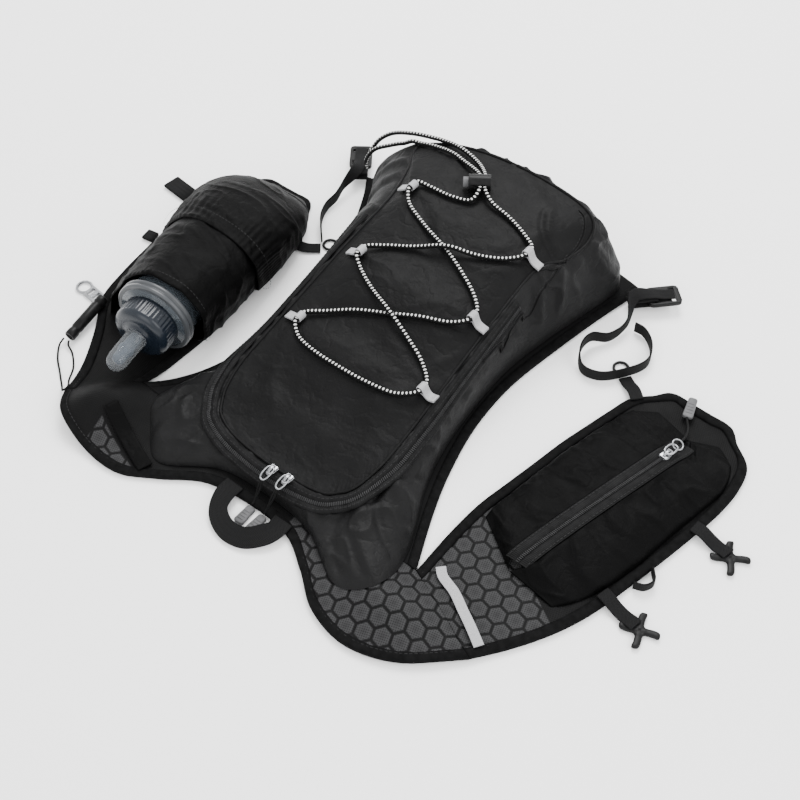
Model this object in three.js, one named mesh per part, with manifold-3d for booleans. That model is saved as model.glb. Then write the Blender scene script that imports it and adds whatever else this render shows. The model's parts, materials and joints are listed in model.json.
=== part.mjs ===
// Running hydration pack, lying opened on its back panel with the bag's front up.
// Millimetres, +Z up. The origin is on the floor under the middle of the back panel,
// the neck points to -Y, the bottom hem to +Y, and +X is the strap with the big zipped pocket.
import * as THREE from 'three';
import Module from 'manifold-3d';

const wasm = await Module();
wasm.setup();

// Driving sizes of the bag and the harness
const BAG_HALF_WIDTH = 90; // spine to the side edge at the waist
const BAG_HALF_LENGTH = 170; // middle of the back to the bottom hem
const BAG_DEPTH = 76; // back panel to the crown at the bottom end
const BACK_PAD = 4; // padded mesh of the back
const STRAP_PAD = 3; // padded mesh of a strap
const STRAP_WIDTH = 105;
const STRAP_LENGTH = 235;
const CLOTH = 1.5; // coated nylon and its seam allowance
const GAP = 0.3; // between neighbouring pieces
const BINDING_WIDTH = 8;
const BINDING_HEIGHT = 5.2;
const SHOULDER_ARCH_RIGHT = 12; // how far the right shoulder stands off the floor
const SHOULDER_ARCH_LEFT = 20;

// Driving sizes of the trim
const PIPING_DIAMETER = 2.6;
const ZIP_TAPE_WIDTH = 13;
const ZIP_TAPE_THICKNESS = 1.6;
const BUNGEE_DIAMETER = 3.5;
const TAB_WIDTH = 7;
const TAB_TAIL = 9;
const TAB_WALL = 1.1;
const WEBBING_WIDTH = 15;
const WEBBING_THICKNESS = 1.4;
const NARROW_WEBBING = 10;
const LOCK_LENGTH = 17;
const LOCK_DIAMETER = 13;
const LOCK_TRAVEL = 3;
const BUTTON_DIAMETER = 8.4;

// Driving sizes of the flask and its pocket
const FLASK_RADIUS = 28;
const FLASK_LENGTH = 128;
const FLASK_WALL = 1.4;
const COLLAR_RADIUS = 31;
const NECK_RADIUS = 19;
const CAP_RADIUS = 22.5;
const CAP_HEIGHT = 19;
const NOZZLE_RADIUS = 8.6;
const NOZZLE_LENGTH = 34;

const pack = new THREE.Group();

// Materials
const paint = (color, roughness, metalness = 0) =>
  new THREE.MeshStandardMaterial({ color, roughness, metalness });
const NYLON = paint(0x3a3b3f, 0.62);
const NYLON_DARK = paint(0x2b2c2f, 0.7);
const BINDING = paint(0x17181a, 0.8);
const PADDING = paint(0x4a4b4e, 0.9);
const WEBBING = paint(0x1c1d1f, 0.75);
const PLASTIC = paint(0x141416, 0.4);
const GREY_PLASTIC = paint(0x6c6e70, 0.45);
const REFLECTIVE = paint(0xa9abad, 0.35);
const CORD = paint(0x111112, 0.7);
const METAL = paint(0xc9cbce, 0.25, 1);
const CLEAR = paint(0xbfc9cf, 0.2);
const BLUE_GREY = paint(0x8fa3b3, 0.3);

function put(name, geometry, material) {
  const mesh = new THREE.Mesh(weld(geometry), material);
  mesh.name = name;
  pack.add(mesh);
  return mesh;
}

// Vectors and curves
const at = (x, y, z = 0) => new THREE.Vector3(x, y, z);
const mix = (a, b, t) => a + (b - a) * t;

function smooth(points, closed = false) {
  return new THREE.CatmullRomCurve3(points, closed, 'centripetal');
}

// A column of a table read at a share u of its rows, as a smooth curve of one value.
function column(rows, name, u, closed = false) {
  const last = closed ? rows.length : rows.length - 1;
  const place = THREE.MathUtils.clamp(u, 0, 1) * last;
  const first = Math.min(Math.floor(place), last - 1);
  const held = (i) => (closed ? (i + rows.length) % rows.length : THREE.MathUtils.clamp(i, 0, last));
  const value = (i) => rows[held(i)][name];
  const t = place - first;
  const [a, b, c, d] = [value(first - 1), value(first), value(first + 1), value(first + 2)];
  return b + 0.5 * t * (c - a + t * (2 * a - 5 * b + 4 * c - d + t * (3 * (b - c) + d - a)));
}

// The value of a column where another column reaches a place; rows are sorted by that column.
function lookUp(rows, key, name, place) {
  const after = rows.findIndex((row) => row[key] >= place);
  if (after === -1) return rows[rows.length - 1][name];
  if (after === 0) return rows[0][name];
  const [low, high] = [rows[after - 1], rows[after]];
  const t = (place - low[key]) / (high[key] - low[key]);
  return mix(low[name], high[name], t * t * (3 - 2 * t));
}

// Closed bodies
function triangles(positions, faces) {
  const geometry = new THREE.BufferGeometry();
  const values = positions.flatMap((point) => point.toArray());
  geometry.setAttribute('position', new THREE.Float32BufferAttribute(values, 3));
  geometry.setIndex(faces.flat());
  return geometry;
}

function volumeOf(positions, faces) {
  let sum = 0;
  for (const [a, b, c] of faces) sum += positions[a].dot(positions[b].clone().cross(positions[c]));
  return sum / 6;
}

function closedBody(positions, faces) {
  const out = volumeOf(positions, faces) < 0 ? faces.map(([a, b, c]) => [a, c, b]) : faces;
  const geometry = triangles(positions, out);
  geometry.computeVertexNormals();
  return geometry;
}

// A sheet between two equal grids of points (rows of points). around joins the last column to the first.
function sheet(front, back, around = false) {
  const rows = front.length;
  const columns = front[0].length;
  const positions = [...front.flat(), ...back.flat()];
  const offset = rows * columns;
  const index = (i, j, side) => side * offset + i * columns + (j % columns);
  const faces = [];
  const quad = (a, b, c, d) => faces.push([a, b, c], [a, c, d]);
  const steps = around ? columns : columns - 1;
  for (let i = 0; i < rows - 1; i++) {
    for (let j = 0; j < steps; j++) {
      quad(index(i, j, 0), index(i, j + 1, 0), index(i + 1, j + 1, 0), index(i + 1, j, 0));
      quad(index(i, j, 1), index(i + 1, j, 1), index(i + 1, j + 1, 1), index(i, j + 1, 1));
    }
  }
  for (let j = 0; j < steps; j++) {
    quad(index(0, j, 0), index(0, j, 1), index(0, j + 1, 1), index(0, j + 1, 0));
    quad(index(rows - 1, j, 0), index(rows - 1, j + 1, 0), index(rows - 1, j + 1, 1), index(rows - 1, j, 1));
  }
  if (!around) {
    for (let i = 0; i < rows - 1; i++) {
      quad(index(i, 0, 0), index(i + 1, 0, 0), index(i + 1, 0, 1), index(i, 0, 1));
      const end = columns - 1;
      quad(index(i, end, 0), index(i, end, 1), index(i + 1, end, 1), index(i + 1, end, 0));
    }
  }
  return closedBody(positions, faces);
}

// A sheet of closed rings whose innermost ring is closed by a fan to a middle point.
function cap(front, back, frontMiddle, backMiddle) {
  const rows = front.length;
  const columns = front[0].length;
  const positions = [...front.flat(), ...back.flat(), frontMiddle, backMiddle];
  const offset = rows * columns;
  const index = (i, j, side) => side * offset + i * columns + (j % columns);
  const faces = [];
  const quad = (a, b, c, d) => faces.push([a, b, c], [a, c, d]);
  for (let j = 0; j < columns; j++) {
    for (let i = 0; i < rows - 1; i++) {
      quad(index(i, j, 0), index(i, j + 1, 0), index(i + 1, j + 1, 0), index(i + 1, j, 0));
      quad(index(i, j, 1), index(i + 1, j, 1), index(i + 1, j + 1, 1), index(i, j + 1, 1));
    }
    quad(index(0, j, 0), index(0, j, 1), index(0, j + 1, 1), index(0, j + 1, 0));
    faces.push([index(rows - 1, j, 0), index(rows - 1, j + 1, 0), 2 * offset]);
    faces.push([index(rows - 1, j + 1, 1), index(rows - 1, j, 1), 2 * offset + 1]);
  }
  return closedBody(positions, faces);
}

// Outward direction of a grid at each point, from its neighbours.
function normals(grid, around = false) {
  const rows = grid.length;
  const columns = grid[0].length;
  return grid.map((row, i) => row.map((point, j) => {
    const before = around ? (j + columns - 1) % columns : Math.max(j - 1, 0);
    const after = around ? (j + 1) % columns : Math.min(j + 1, columns - 1);
    const along = grid[Math.min(i + 1, rows - 1)][j].clone().sub(grid[Math.max(i - 1, 0)][j]);
    const across = row[after].clone().sub(row[before]);
    return along.cross(across).normalize();
  }));
}

// A bar of a flat rounded section swept along points; across points to the width, rise to the thickness.
function bar(points, across, rise, width, thickness) {
  const [half, high] = [width / 2, thickness / 2];
  const flat = half * 0.6;
  const section = [[half, 0], [flat, high], [-flat, high], [-half, 0], [-flat, -high], [flat, -high]];
  return loft(points.map((point, i) => section.map(([a, b]) =>
    point.clone().addScaledVector(across[i], a).addScaledVector(rise[i], b))));
}

// A ribbon with square edges: four points a section.
function ribbon(points, across, rise, width, thickness) {
  const corners = [[0.5, 0.5], [-0.5, 0.5], [-0.5, -0.5], [0.5, -0.5]];
  return loft(points.map((point, i) => corners.map(([a, b]) =>
    point.clone().addScaledVector(across[i], a * width).addScaledVector(rise[i], b * thickness))));
}

// Rings of points joined one after the other, with flat ends.
function loft(rings) {
  const columns = rings[0].length;
  const positions = rings.flat();
  const faces = [];
  const index = (i, j) => i * columns + (j % columns);
  for (let i = 0; i < rings.length - 1; i++) {
    for (let j = 0; j < columns; j++) {
      faces.push([index(i, j), index(i, j + 1), index(i + 1, j + 1)]);
      faces.push([index(i, j), index(i + 1, j + 1), index(i + 1, j)]);
    }
  }
  for (let j = 1; j < columns - 1; j++) {
    faces.push([index(0, 0), index(0, j + 1), index(0, j)]);
    faces.push([index(rings.length - 1, 0), index(rings.length - 1, j), index(rings.length - 1, j + 1)]);
  }
  return closedBody(positions, faces);
}

function tube(curve, diameter, steps, sides = 8) {
  const section = new THREE.Shape();
  for (let k = 0; k <= sides; k++) {
    const angle = ((k + 0.5) * 2 * Math.PI) / sides;
    const place = [(diameter / 2) * Math.cos(angle), (diameter / 2) * Math.sin(angle)];
    if (k === 0) section.moveTo(...place);
    else section.lineTo(...place);
  }
  return new THREE.ExtrudeGeometry(section, { steps, extrudePath: curve, bevelEnabled: false });
}

// Sideways directions of a plan curve, to the right of its run.
function sideways(points) {
  return points.map((point, i) => {
    const run = points[Math.min(i + 1, points.length - 1)].clone().sub(points[Math.max(i - 1, 0)]);
    return at(run.y, -run.x).normalize();
  });
}

// A geometry with its coinciding corners joined, whatever it was made of.
function weld(geometry) {
  const position = geometry.getAttribute('position');
  const corners = geometry.index ? [...geometry.index.array] : [...Array(position.count).keys()];
  const seen = new Map();
  const positions = [];
  const joined = corners.map((k) => {
    const point = at(position.getX(k), position.getY(k), position.getZ(k));
    const key = point.toArray().map((value) => Math.round(value * 2e3)).join();
    if (!seen.has(key)) {
      seen.set(key, positions.length);
      positions.push(point);
    }
    return seen.get(key);
  });
  const faces = [];
  for (let i = 0; i < joined.length; i += 3) {
    const [p, q, r] = joined.slice(i, i + 3);
    if (p !== q && q !== r && r !== p) faces.push([p, q, r]);
  }
  return closedBody(positions, faces);
}

// Booleans
function toManifold(geometry) {
  const welded = weld(geometry);
  return new wasm.Manifold(new wasm.Mesh({
    numProp: 3,
    vertProperties: new Float32Array(welded.getAttribute('position').array),
    triVerts: new Uint32Array(welded.index.array),
  }));
}

function fromManifold(manifold) {
  const mesh = manifold.getMesh();
  const geometry = new THREE.BufferGeometry();
  geometry.setAttribute('position', new THREE.Float32BufferAttribute(mesh.vertProperties, 3));
  geometry.setIndex([...mesh.triVerts]);
  geometry.computeVertexNormals();
  return geometry;
}

function cut(body, ...tools) {
  return fromManifold(tools.reduce((left, tool) => left.subtract(toManifold(tool)), toManifold(body)));
}

function join(body, ...others) {
  return fromManifold(others.reduce((sum, other) => sum.add(toManifold(other)), toManifold(body)));
}

// The lie of the cloth: the height of the harness's underside over the floor.
const ARCHES = [
  { across: 1.5, along: -1.01, rise: SHOULDER_ARCH_RIGHT, turn: 0, long: 0.42, wide: 0.13 },
  { across: -1.42, along: -1.0, rise: SHOULDER_ARCH_LEFT, turn: 0.9, long: 0.42, wide: 0.13 },
];

function lie(x, y) {
  let height = 0;
  for (const arch of ARCHES) {
    const dx = x - arch.across * BAG_HALF_WIDTH;
    const dy = y - arch.along * BAG_HALF_LENGTH;
    const along = (dx * Math.cos(arch.turn) + dy * Math.sin(arch.turn)) / (arch.long * BAG_HALF_WIDTH);
    const across = (dy * Math.cos(arch.turn) - dx * Math.sin(arch.turn)) / (arch.wide * BAG_HALF_LENGTH);
    height += arch.rise * Math.exp(-along * along - across * across);
  }
  return height;
}

// Back panel rows, from the bottom hem to the yoke: side edges, and how far the hem bows out.
const YOKE_ALONG = -0.83;
const BACK_ROWS = [
  { leftAlong: 0.83, left: -1.53, rightAlong: 1.01, right: 1.27, bow: 0.13 },
  { leftAlong: 0.7, left: -1.38, rightAlong: 0.73, right: 1.16, bow: 0.09 },
  { leftAlong: 0.46, left: -1.18, rightAlong: 0.46, right: 1.07, bow: 0.02 },
  { leftAlong: 0.17, left: -1.05, rightAlong: 0.17, right: 1.0, bow: 0 },
  { leftAlong: -0.1, left: -1.0, rightAlong: -0.1, right: 1.02, bow: 0 },
  { leftAlong: -0.35, left: -0.99, rightAlong: -0.35, right: 1.12, bow: 0 },
  { leftAlong: -0.57, left: -1.09, rightAlong: -0.57, right: 1.26, bow: 0 },
  { leftAlong: YOKE_ALONG, left: -1.34, rightAlong: YOKE_ALONG, right: 1.47, bow: 0 },
];

// Yoke rows round the neck from the left shoulder seam to the right one; inner is on the back panel's line.
const YOKE_ROWS = [
  { inner: -1.34, outer: -1.8, outerAlong: -1.06 },
  { inner: -1.24, outer: -1.62, outerAlong: -1.16 },
  { inner: -1.09, outer: -1.29, outerAlong: -1.21 },
  { inner: -0.89, outer: -0.93, outerAlong: -1.21 },
  { inner: -0.67, outer: -0.64, outerAlong: -1.13 },
  { inner: -0.33, outer: -0.31, outerAlong: -1.02 },
  { inner: 0.09, outer: 0.11, outerAlong: -0.99 },
  { inner: 0.5, outer: 0.49, outerAlong: -1.01 },
  { inner: 0.76, outer: 0.78, outerAlong: -1.1 },
  { inner: 1.02, outer: 1.07, outerAlong: -1.21 },
  { inner: 1.22, outer: 1.44, outerAlong: -1.25 },
  { inner: 1.36, outer: 1.84, outerAlong: -1.18 },
  { inner: 1.47, outer: 2.2, outerAlong: -1.01 },
];

// Strap rows from the shoulder seam to the free end, measured from the inner end of that seam.
const STRAP_ROWS = {
  right: [
    { inner: 0, innerAlong: 0, outer: 0.63, outerAlong: -0.13 },
    { inner: -0.01, innerAlong: 0.14, outer: 0.86, outerAlong: 0.02 },
    { inner: 0.01, innerAlong: 0.3, outer: 1.03, outerAlong: 0.18 },
    { inner: 0.08, innerAlong: 0.46, outer: 1.16, outerAlong: 0.41 },
    { inner: 0.15, innerAlong: 0.63, outer: 1.25, outerAlong: 0.6 },
    { inner: 0.23, innerAlong: 0.77, outer: 1.3, outerAlong: 0.77 },
    { inner: 0.32, innerAlong: 0.91, outer: 1.25, outerAlong: 0.9 },
    { inner: 0.48, innerAlong: 0.98, outer: 1.05, outerAlong: 0.97 },
  ],
  left: [
    { inner: 0, innerAlong: 0, outer: 0.4, outerAlong: -0.16 },
    { inner: 0.01, innerAlong: 0.12, outer: 0.6, outerAlong: 0.03 },
    { inner: 0, innerAlong: 0.27, outer: 0.88, outerAlong: 0.2 },
    { inner: 0.03, innerAlong: 0.4, outer: 0.97, outerAlong: 0.39 },
    { inner: 0.08, innerAlong: 0.56, outer: 1.02, outerAlong: 0.56 },
    { inner: 0.11, innerAlong: 0.71, outer: 1.11, outerAlong: 0.7 },
    { inner: 0.14, innerAlong: 0.85, outer: 1.06, outerAlong: 0.85 },
    { inner: 0.3, innerAlong: 0.95, outer: 0.8, outerAlong: 0.95 },
  ],
};
const SIGN = { right: 1, left: -1 };

// A place on the back, in shares of the bag's half width and half length
const onBack = (across, along, z = 0) => at(across * BAG_HALF_WIDTH, along * BAG_HALF_LENGTH, z);

function backEdges(u) {
  return ['left', 'right'].map((side) =>
    onBack(column(BACK_ROWS, side, u), column(BACK_ROWS, `${side}Along`, u)));
}

function yokeEdges(u) {
  const inner = onBack(column(YOKE_ROWS, 'inner', u), YOKE_ALONG).add(at(0, -GAP));
  return [inner, onBack(column(YOKE_ROWS, 'outer', u), column(YOKE_ROWS, 'outerAlong', u))];
}

function strapEdges(side, u) {
  const rows = STRAP_ROWS[side];
  const [notch, tip] = yokeEdges(side === 'right' ? 1 : 0);
  const seam = tip.clone().sub(notch);
  const place = (across, along) => at(SIGN[side] * across * STRAP_WIDTH, along * STRAP_LENGTH);
  const [inner, outer] = ['inner', 'outer'].map((name) =>
    place(column(rows, name, u), column(rows, `${name}Along`, u)).add(notch).add(at(0, GAP)));
  const settle = Math.max(0, 1 - u * (rows.length - 1));
  return [inner, outer.addScaledVector(seam.sub(place(rows[0].outer, rows[0].outerAlong)), settle)];
}

// A place on a strap, in shares of its width and length from the inner end of its shoulder seam
function onStrap(side, across, along, z = 0) {
  const root = yokeEdges(side === 'right' ? 1 : 0)[0].add(at(0, GAP));
  return root.add(at(SIGN[side] * across * STRAP_WIDTH, along * STRAP_LENGTH, z));
}

const onLeft = (across, along, z) => onStrap('left', across, along, z);
const onRight = (across, along, z) => onStrap('right', across, along, z);

// A pad between two edges: insets leave room for the binding on either edge.
function pad(edges, stations, columns, thickness, insets, bow = () => 0) {
  const grid = stations.map((u) => {
    const [a, b] = edges(u);
    const run = b.clone().sub(a);
    const width = run.length();
    const line = [];
    for (let j = 0; j <= columns; j++) {
      const t = mix(insets[0] / width, 1 - insets[1] / width, j / columns);
      const point = a.clone().addScaledVector(run, t);
      point.y += bow(u) * (1 - (2 * t - 1) ** 2);
      line.push(point);
    }
    return line;
  });
  const top = grid.map((line) => line.map((p) => at(p.x, p.y, lie(p.x, p.y) + thickness)));
  const bottom = grid.map((line) => line.map((p) => at(p.x, p.y, lie(p.x, p.y))));
  return sheet(top, bottom);
}

const spread = (from, to, count) => Array.from({ length: count + 1 }, (_, i) => mix(from, to, i / count));
const EDGE = BINDING_WIDTH + GAP;
const STRAP_PAD_END = 0.95; // the pad stops short of the binding that turns round the strap's end
const BACK_STATIONS = spread(0, 1, 14);
const YOKE_STATIONS = spread(0, 1, 26);
const STRAP_STATIONS = spread(0, STRAP_PAD_END, 12);
const hemBow = (u) => column(BACK_ROWS, 'bow', u) * BAG_HALF_LENGTH;
put('back_panel', pad(backEdges, BACK_STATIONS, 6, BACK_PAD, [EDGE, EDGE], hemBow), PADDING);
put('shoulder_yoke', pad(yokeEdges, YOKE_STATIONS, 3, BACK_PAD, [0, EDGE]), PADDING);
for (const side of ['left', 'right']) {
  put(`strap_${side}`, pad((u) => strapEdges(side, u), STRAP_STATIONS, 4, STRAP_PAD, [EDGE, EDGE]), PADDING);
}

// Edge bindings: a folded tape along each edge, with its width along the rows of the pad.
function edgeStations(edges, stations, side) {
  return stations.map((u) => {
    const [a, b] = edges(u);
    const run = b.clone().sub(a).normalize().multiplyScalar(side === 0 ? 1 : -1);
    const point = (side === 0 ? a : b).clone().addScaledVector(run, BINDING_WIDTH / 2);
    return { point, across: run };
  });
}

function binding(stations) {
  const centre = stations.map(({ point: p }) => at(p.x, p.y, lie(p.x, p.y) + BINDING_HEIGHT / 2));
  const level = stations.map(({ across }) => across);
  return bar(centre, level, centre.map(() => at(0, 0, 1)), BINDING_WIDTH, BINDING_HEIGHT);
}

put('binding_side_left', binding(edgeStations(backEdges, BACK_STATIONS, 0)), BINDING);
put('binding_side_right', binding(edgeStations(backEdges, BACK_STATIONS, 1)), BINDING);
put('binding_neck', binding(edgeStations(yokeEdges, YOKE_STATIONS, 1)), BINDING);
for (const side of ['left', 'right']) {
  const edges = (u) => strapEdges(side, u);
  const inner = edgeStations(edges, STRAP_STATIONS, 0);
  const outer = edgeStations(edges, STRAP_STATIONS, 1).reverse();
  const [a, b] = edges(1);
  const corner = (t) => a.clone().lerp(b, t).add(at(0, BINDING_WIDTH / 2));
  const turn = [0.12, 0.35, 0.65, 0.88].map((t) => ({ point: corner(t), across: at(0, -1) }));
  turn[0].across = at(SIGN[side], -1).normalize();
  turn[3].across = at(-SIGN[side], -1).normalize();
  put(`binding_strap_${side}`, binding([...inner, ...turn, ...outer]), BINDING);
}

// The bag's cloth. Rows go round it from the middle of the bottom end towards +X: base is where the cloth
// meets the back, edge the seam of the front panel, rise that seam's height, full how round the side bulges.
const BAG_ROWS = [
  { baseAcross: 0, baseAlong: 1.02, edgeAcross: -0.06, edgeAlong: 0.95, rise: 0.93, full: 1 },
  { baseAcross: 0.56, baseAlong: 1.02, edgeAcross: 0.5, edgeAlong: 0.94, rise: 0.91, full: 1 },
  { baseAcross: 0.93, baseAlong: 0.99, edgeAcross: 0.8, edgeAlong: 0.9, rise: 0.86, full: 0.9 },
  { baseAcross: 1.12, baseAlong: 0.94, edgeAcross: 0.89, edgeAlong: 0.81, rise: 0.76, full: 0.7 },
  { baseAcross: 1.05, baseAlong: 0.69, edgeAcross: 0.86, edgeAlong: 0.65, rise: 0.76, full: 0.9 },
  { baseAcross: 0.97, baseAlong: 0.48, edgeAcross: 0.75, edgeAlong: 0.51, rise: 0.8, full: 1 },
  { baseAcross: 0.9, baseAlong: 0.22, edgeAcross: 0.75, edgeAlong: 0.22, rise: 0.68, full: 1 },
  { baseAcross: 0.91, baseAlong: -0.02, edgeAcross: 0.77, edgeAlong: -0.06, rise: 0.56, full: 1 },
  { baseAcross: 0.97, baseAlong: -0.28, edgeAcross: 0.79, edgeAlong: -0.31, rise: 0.44, full: 1 },
  { baseAcross: 1.08, baseAlong: -0.49, edgeAcross: 0.8, edgeAlong: -0.52, rise: 0.35, full: 0.8 },
  { baseAcross: 1.34, baseAlong: -0.8, edgeAcross: 0.79, edgeAlong: -0.63, rise: 0.31, full: 0.45 },
  { baseAcross: 1.36, baseAlong: -1.0, edgeAcross: 0.75, edgeAlong: -0.73, rise: 0.27, full: 0.35 },
  { baseAcross: 1.08, baseAlong: -1.08, edgeAcross: 0.67, edgeAlong: -0.78, rise: 0.23, full: 0.35 },
  { baseAcross: 0.62, baseAlong: -0.95, edgeAcross: 0.53, edgeAlong: -0.82, rise: 0.2, full: 0.8 },
  { baseAcross: 0.16, baseAlong: -0.92, edgeAcross: 0.16, edgeAlong: -0.835, rise: 0.18, full: 0.9 },
  { baseAcross: -0.29, baseAlong: -0.94, edgeAcross: -0.29, edgeAlong: -0.82, rise: 0.19, full: 0.8 },
  { baseAcross: -0.72, baseAlong: -1.07, edgeAcross: -0.53, edgeAlong: -0.78, rise: 0.21, full: 0.45 },
  { baseAcross: -0.99, baseAlong: -0.97, edgeAcross: -0.63, edgeAlong: -0.72, rise: 0.23, full: 0.4 },
  { baseAcross: -1.14, baseAlong: -0.82, edgeAcross: -0.69, edgeAlong: -0.65, rise: 0.27, full: 0.45 },
  { baseAcross: -0.95, baseAlong: -0.55, edgeAcross: -0.73, edgeAlong: -0.52, rise: 0.34, full: 0.8 },
  { baseAcross: -0.88, baseAlong: -0.33, edgeAcross: -0.74, edgeAlong: -0.31, rise: 0.42, full: 1 },
  { baseAcross: -0.89, baseAlong: -0.09, edgeAcross: -0.74, edgeAlong: -0.06, rise: 0.54, full: 1 },
  { baseAcross: -0.94, baseAlong: 0.18, edgeAcross: -0.74, edgeAlong: 0.21, rise: 0.66, full: 1 },
  { baseAcross: -1.05, baseAlong: 0.45, edgeAcross: -0.73, edgeAlong: 0.49, rise: 0.78, full: 1 },
  { baseAcross: -1.22, baseAlong: 0.66, edgeAcross: -0.83, edgeAlong: 0.69, rise: 0.78, full: 0.9 },
  { baseAcross: -1.32, baseAlong: 0.8, edgeAcross: -0.93, edgeAlong: 0.85, rise: 0.78, full: 0.8 },
  { baseAcross: -0.69, baseAlong: 0.97, edgeAcross: -0.56, edgeAlong: 0.92, rise: 0.89, full: 1 },
];

// Height of the bag's crown over the back, along the spine.
const CROWN_ROWS = [
  { along: -0.84, rise: 0.2 },
  { along: -0.59, rise: 0.38 },
  { along: -0.24, rise: 0.57 },
  { along: 0.16, rise: 0.79 },
  { along: 0.56, rise: 0.95 },
  { along: 0.8, rise: 1 },
  { along: 0.94, rise: 0.93 },
];
const SPOKES = 48;
const PANEL_MIDDLE = 0.05; // where the front panel's rings shrink to, along the back

const bagColumn = (name, s) => column(BAG_ROWS, name, s - Math.floor(s), true);

function bagBase(s) {
  const [x, y] = [bagColumn('baseAcross', s) * BAG_HALF_WIDTH, bagColumn('baseAlong', s) * BAG_HALF_LENGTH];
  return at(x, y, lie(x, y) + BACK_PAD + 1.5 * GAP);
}

function bagEdge(s) {
  return at(
    bagColumn('edgeAcross', s) * BAG_HALF_WIDTH,
    bagColumn('edgeAlong', s) * BAG_HALF_LENGTH,
    BACK_PAD + GAP + bagColumn('rise', s) * BAG_DEPTH,
  );
}

// A point of the bag's side: w runs from the back to the front panel's seam.
function bagPoint(s, w) {
  const [base, edge] = [bagBase(s), bagEdge(s)];
  const round = Math.sqrt(1 - (1 - w) ** 2);
  const climb = mix(w, round, bagColumn('full', s));
  return at(mix(base.x, edge.x, w), mix(base.y, edge.y, w), mix(base.z, edge.z, climb));
}

// A point of the front panel: v runs from its seam to its middle.
function panelPoint(s, v) {
  const edge = bagEdge(s);
  const y = mix(edge.y, PANEL_MIDDLE * BAG_HALF_LENGTH, v);
  const crown = BACK_PAD + GAP + lookUp(CROWN_ROWS, 'along', 'rise', y / BAG_HALF_LENGTH) * BAG_DEPTH;
  return at(mix(edge.x, 0, v), y, mix(edge.z, crown, 1 - (1 - v) ** 3));
}

// Where the bag's side lies at a distance below the front panel's seam.
function sideAt(s, distance) {
  const step = 0.02;
  let w = 1;
  let left = distance;
  let last = bagPoint(s, w);
  while (w > step) {
    const next = bagPoint(s, w - step);
    const length = next.distanceTo(last);
    if (length >= left) return w - (step * left) / length;
    left -= length;
    w -= step;
    last = next;
  }
  return step;
}

function bagNormal(s, w) {
  const along = bagPoint(s, Math.min(w + 0.01, 1)).sub(bagPoint(s, w - 0.01));
  const around = bagPoint(s + 0.002, w).sub(bagPoint(s - 0.002, w));
  return along.cross(around).normalize();
}

const spokes = Array.from({ length: SPOKES }, (_, k) => k / SPOKES);
const SEAM_CLEAR = PIPING_DIAMETER / 2 + 3 * GAP; // from the piping's middle to the cloth on either side

// How obliquely a spoke of the bag meets the seam: the sine of the angle between them.
function seamSlant(s, along) {
  const seam = bagEdge(s + 0.004).sub(bagEdge(s - 0.004)).normalize();
  return along.clone().normalize().cross(seam).length();
}

const sideClear = (s) => SEAM_CLEAR / seamSlant(s, bagPoint(s, 0.9).sub(bagEdge(s)));

function bagBody() {
  const rings = [0, 0.06, 0.25, 0.6, 1];
  const front = rings.map((w) => spokes.map((s) => bagPoint(s, Math.min(w, sideAt(s, sideClear(s))))));
  const out = normals(front, true);
  const back = front.map((ring, i) => ring.map((point, j) => {
    const inner = point.clone().addScaledVector(out[i][j], -CLOTH);
    const towards = bagEdge(spokes[j]).sub(point).setZ(0).normalize();
    const floor = lie(point.x, point.y) + BACK_PAD + 1.5 * GAP;
    if (i === 0) return point.clone().addScaledVector(towards, CLOTH * 1.2).setZ(point.z);
    inner.z = Math.max(inner.z, floor + 0.1 * i);
    return inner;
  }));
  return sheet(front, back, true);
}

function frontPanel() {
  const rings = [0, 0.12, 0.35, 0.7];
  const front = rings.map((v) => spokes.map((s) => {
    const spoke = panelPoint(s, 0.1).sub(bagEdge(s));
    const start = (0.1 * SEAM_CLEAR) / (spoke.length() * seamSlant(s, spoke));
    return panelPoint(s, start + v * (1 - start));
  }));
  const out = normals(front, true);
  const back = front.map((ring, i) => ring.map((point, j) =>
    point.clone().addScaledVector(out[i][j], -CLOTH)));
  const middle = panelPoint(0, 1);
  return cap(front, back, middle, middle.clone().add(at(0, 0, -CLOTH)));
}

// A tube whose sections stand at even steps of the curve's own parameter.
function evenCurve(place) {
  const curve = new THREE.Curve();
  curve.getPoint = place;
  curve.getPointAt = place;
  curve.getTangentAt = (t) => {
    const [before, after] = [Math.max(t - 1e-3, 0), Math.min(t + 1e-3, 1)];
    return place(after).sub(place(before)).normalize();
  };
  return curve;
}

const seamEnds = 0.004; // the piping's two ends meet at the bottom hem
const seamCurve = evenCurve((t) => bagEdge(mix(seamEnds, 1 - seamEnds, t)));
const pipingBead = put('piping', tube(seamCurve, PIPING_DIAMETER, SPOKES, 6), NYLON_DARK);
const bagCloth = put('bag_body', bagBody(), NYLON);
const frontCloth = put('front_panel', frontPanel(), NYLON);

// The zip runs round the front panel's sides and neck end, on the bag's side just below the seam.
const ZIP_SPOKES = [10, 40];
const ZIP_LIFT = 6 * GAP;

function zipPoint(s, distance, lift) {
  const w = sideAt(s, distance);
  return bagPoint(s, w).addScaledVector(bagNormal(s, w), lift);
}

function zipTape() {
  const stations = spokes.slice(ZIP_SPOKES[0], ZIP_SPOKES[1] + 1);
  const lanes = spread(GAP, GAP + ZIP_TAPE_WIDTH, 2);
  const layer = (lift) => stations.map((s) => lanes.map((distance) =>
    zipPoint(s, sideClear(s) + distance, lift)));
  return sheet(layer(ZIP_LIFT + ZIP_TAPE_THICKNESS), layer(ZIP_LIFT));
}

const zipBand = put('zip_tape', zipTape(), NYLON_DARK);

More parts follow.
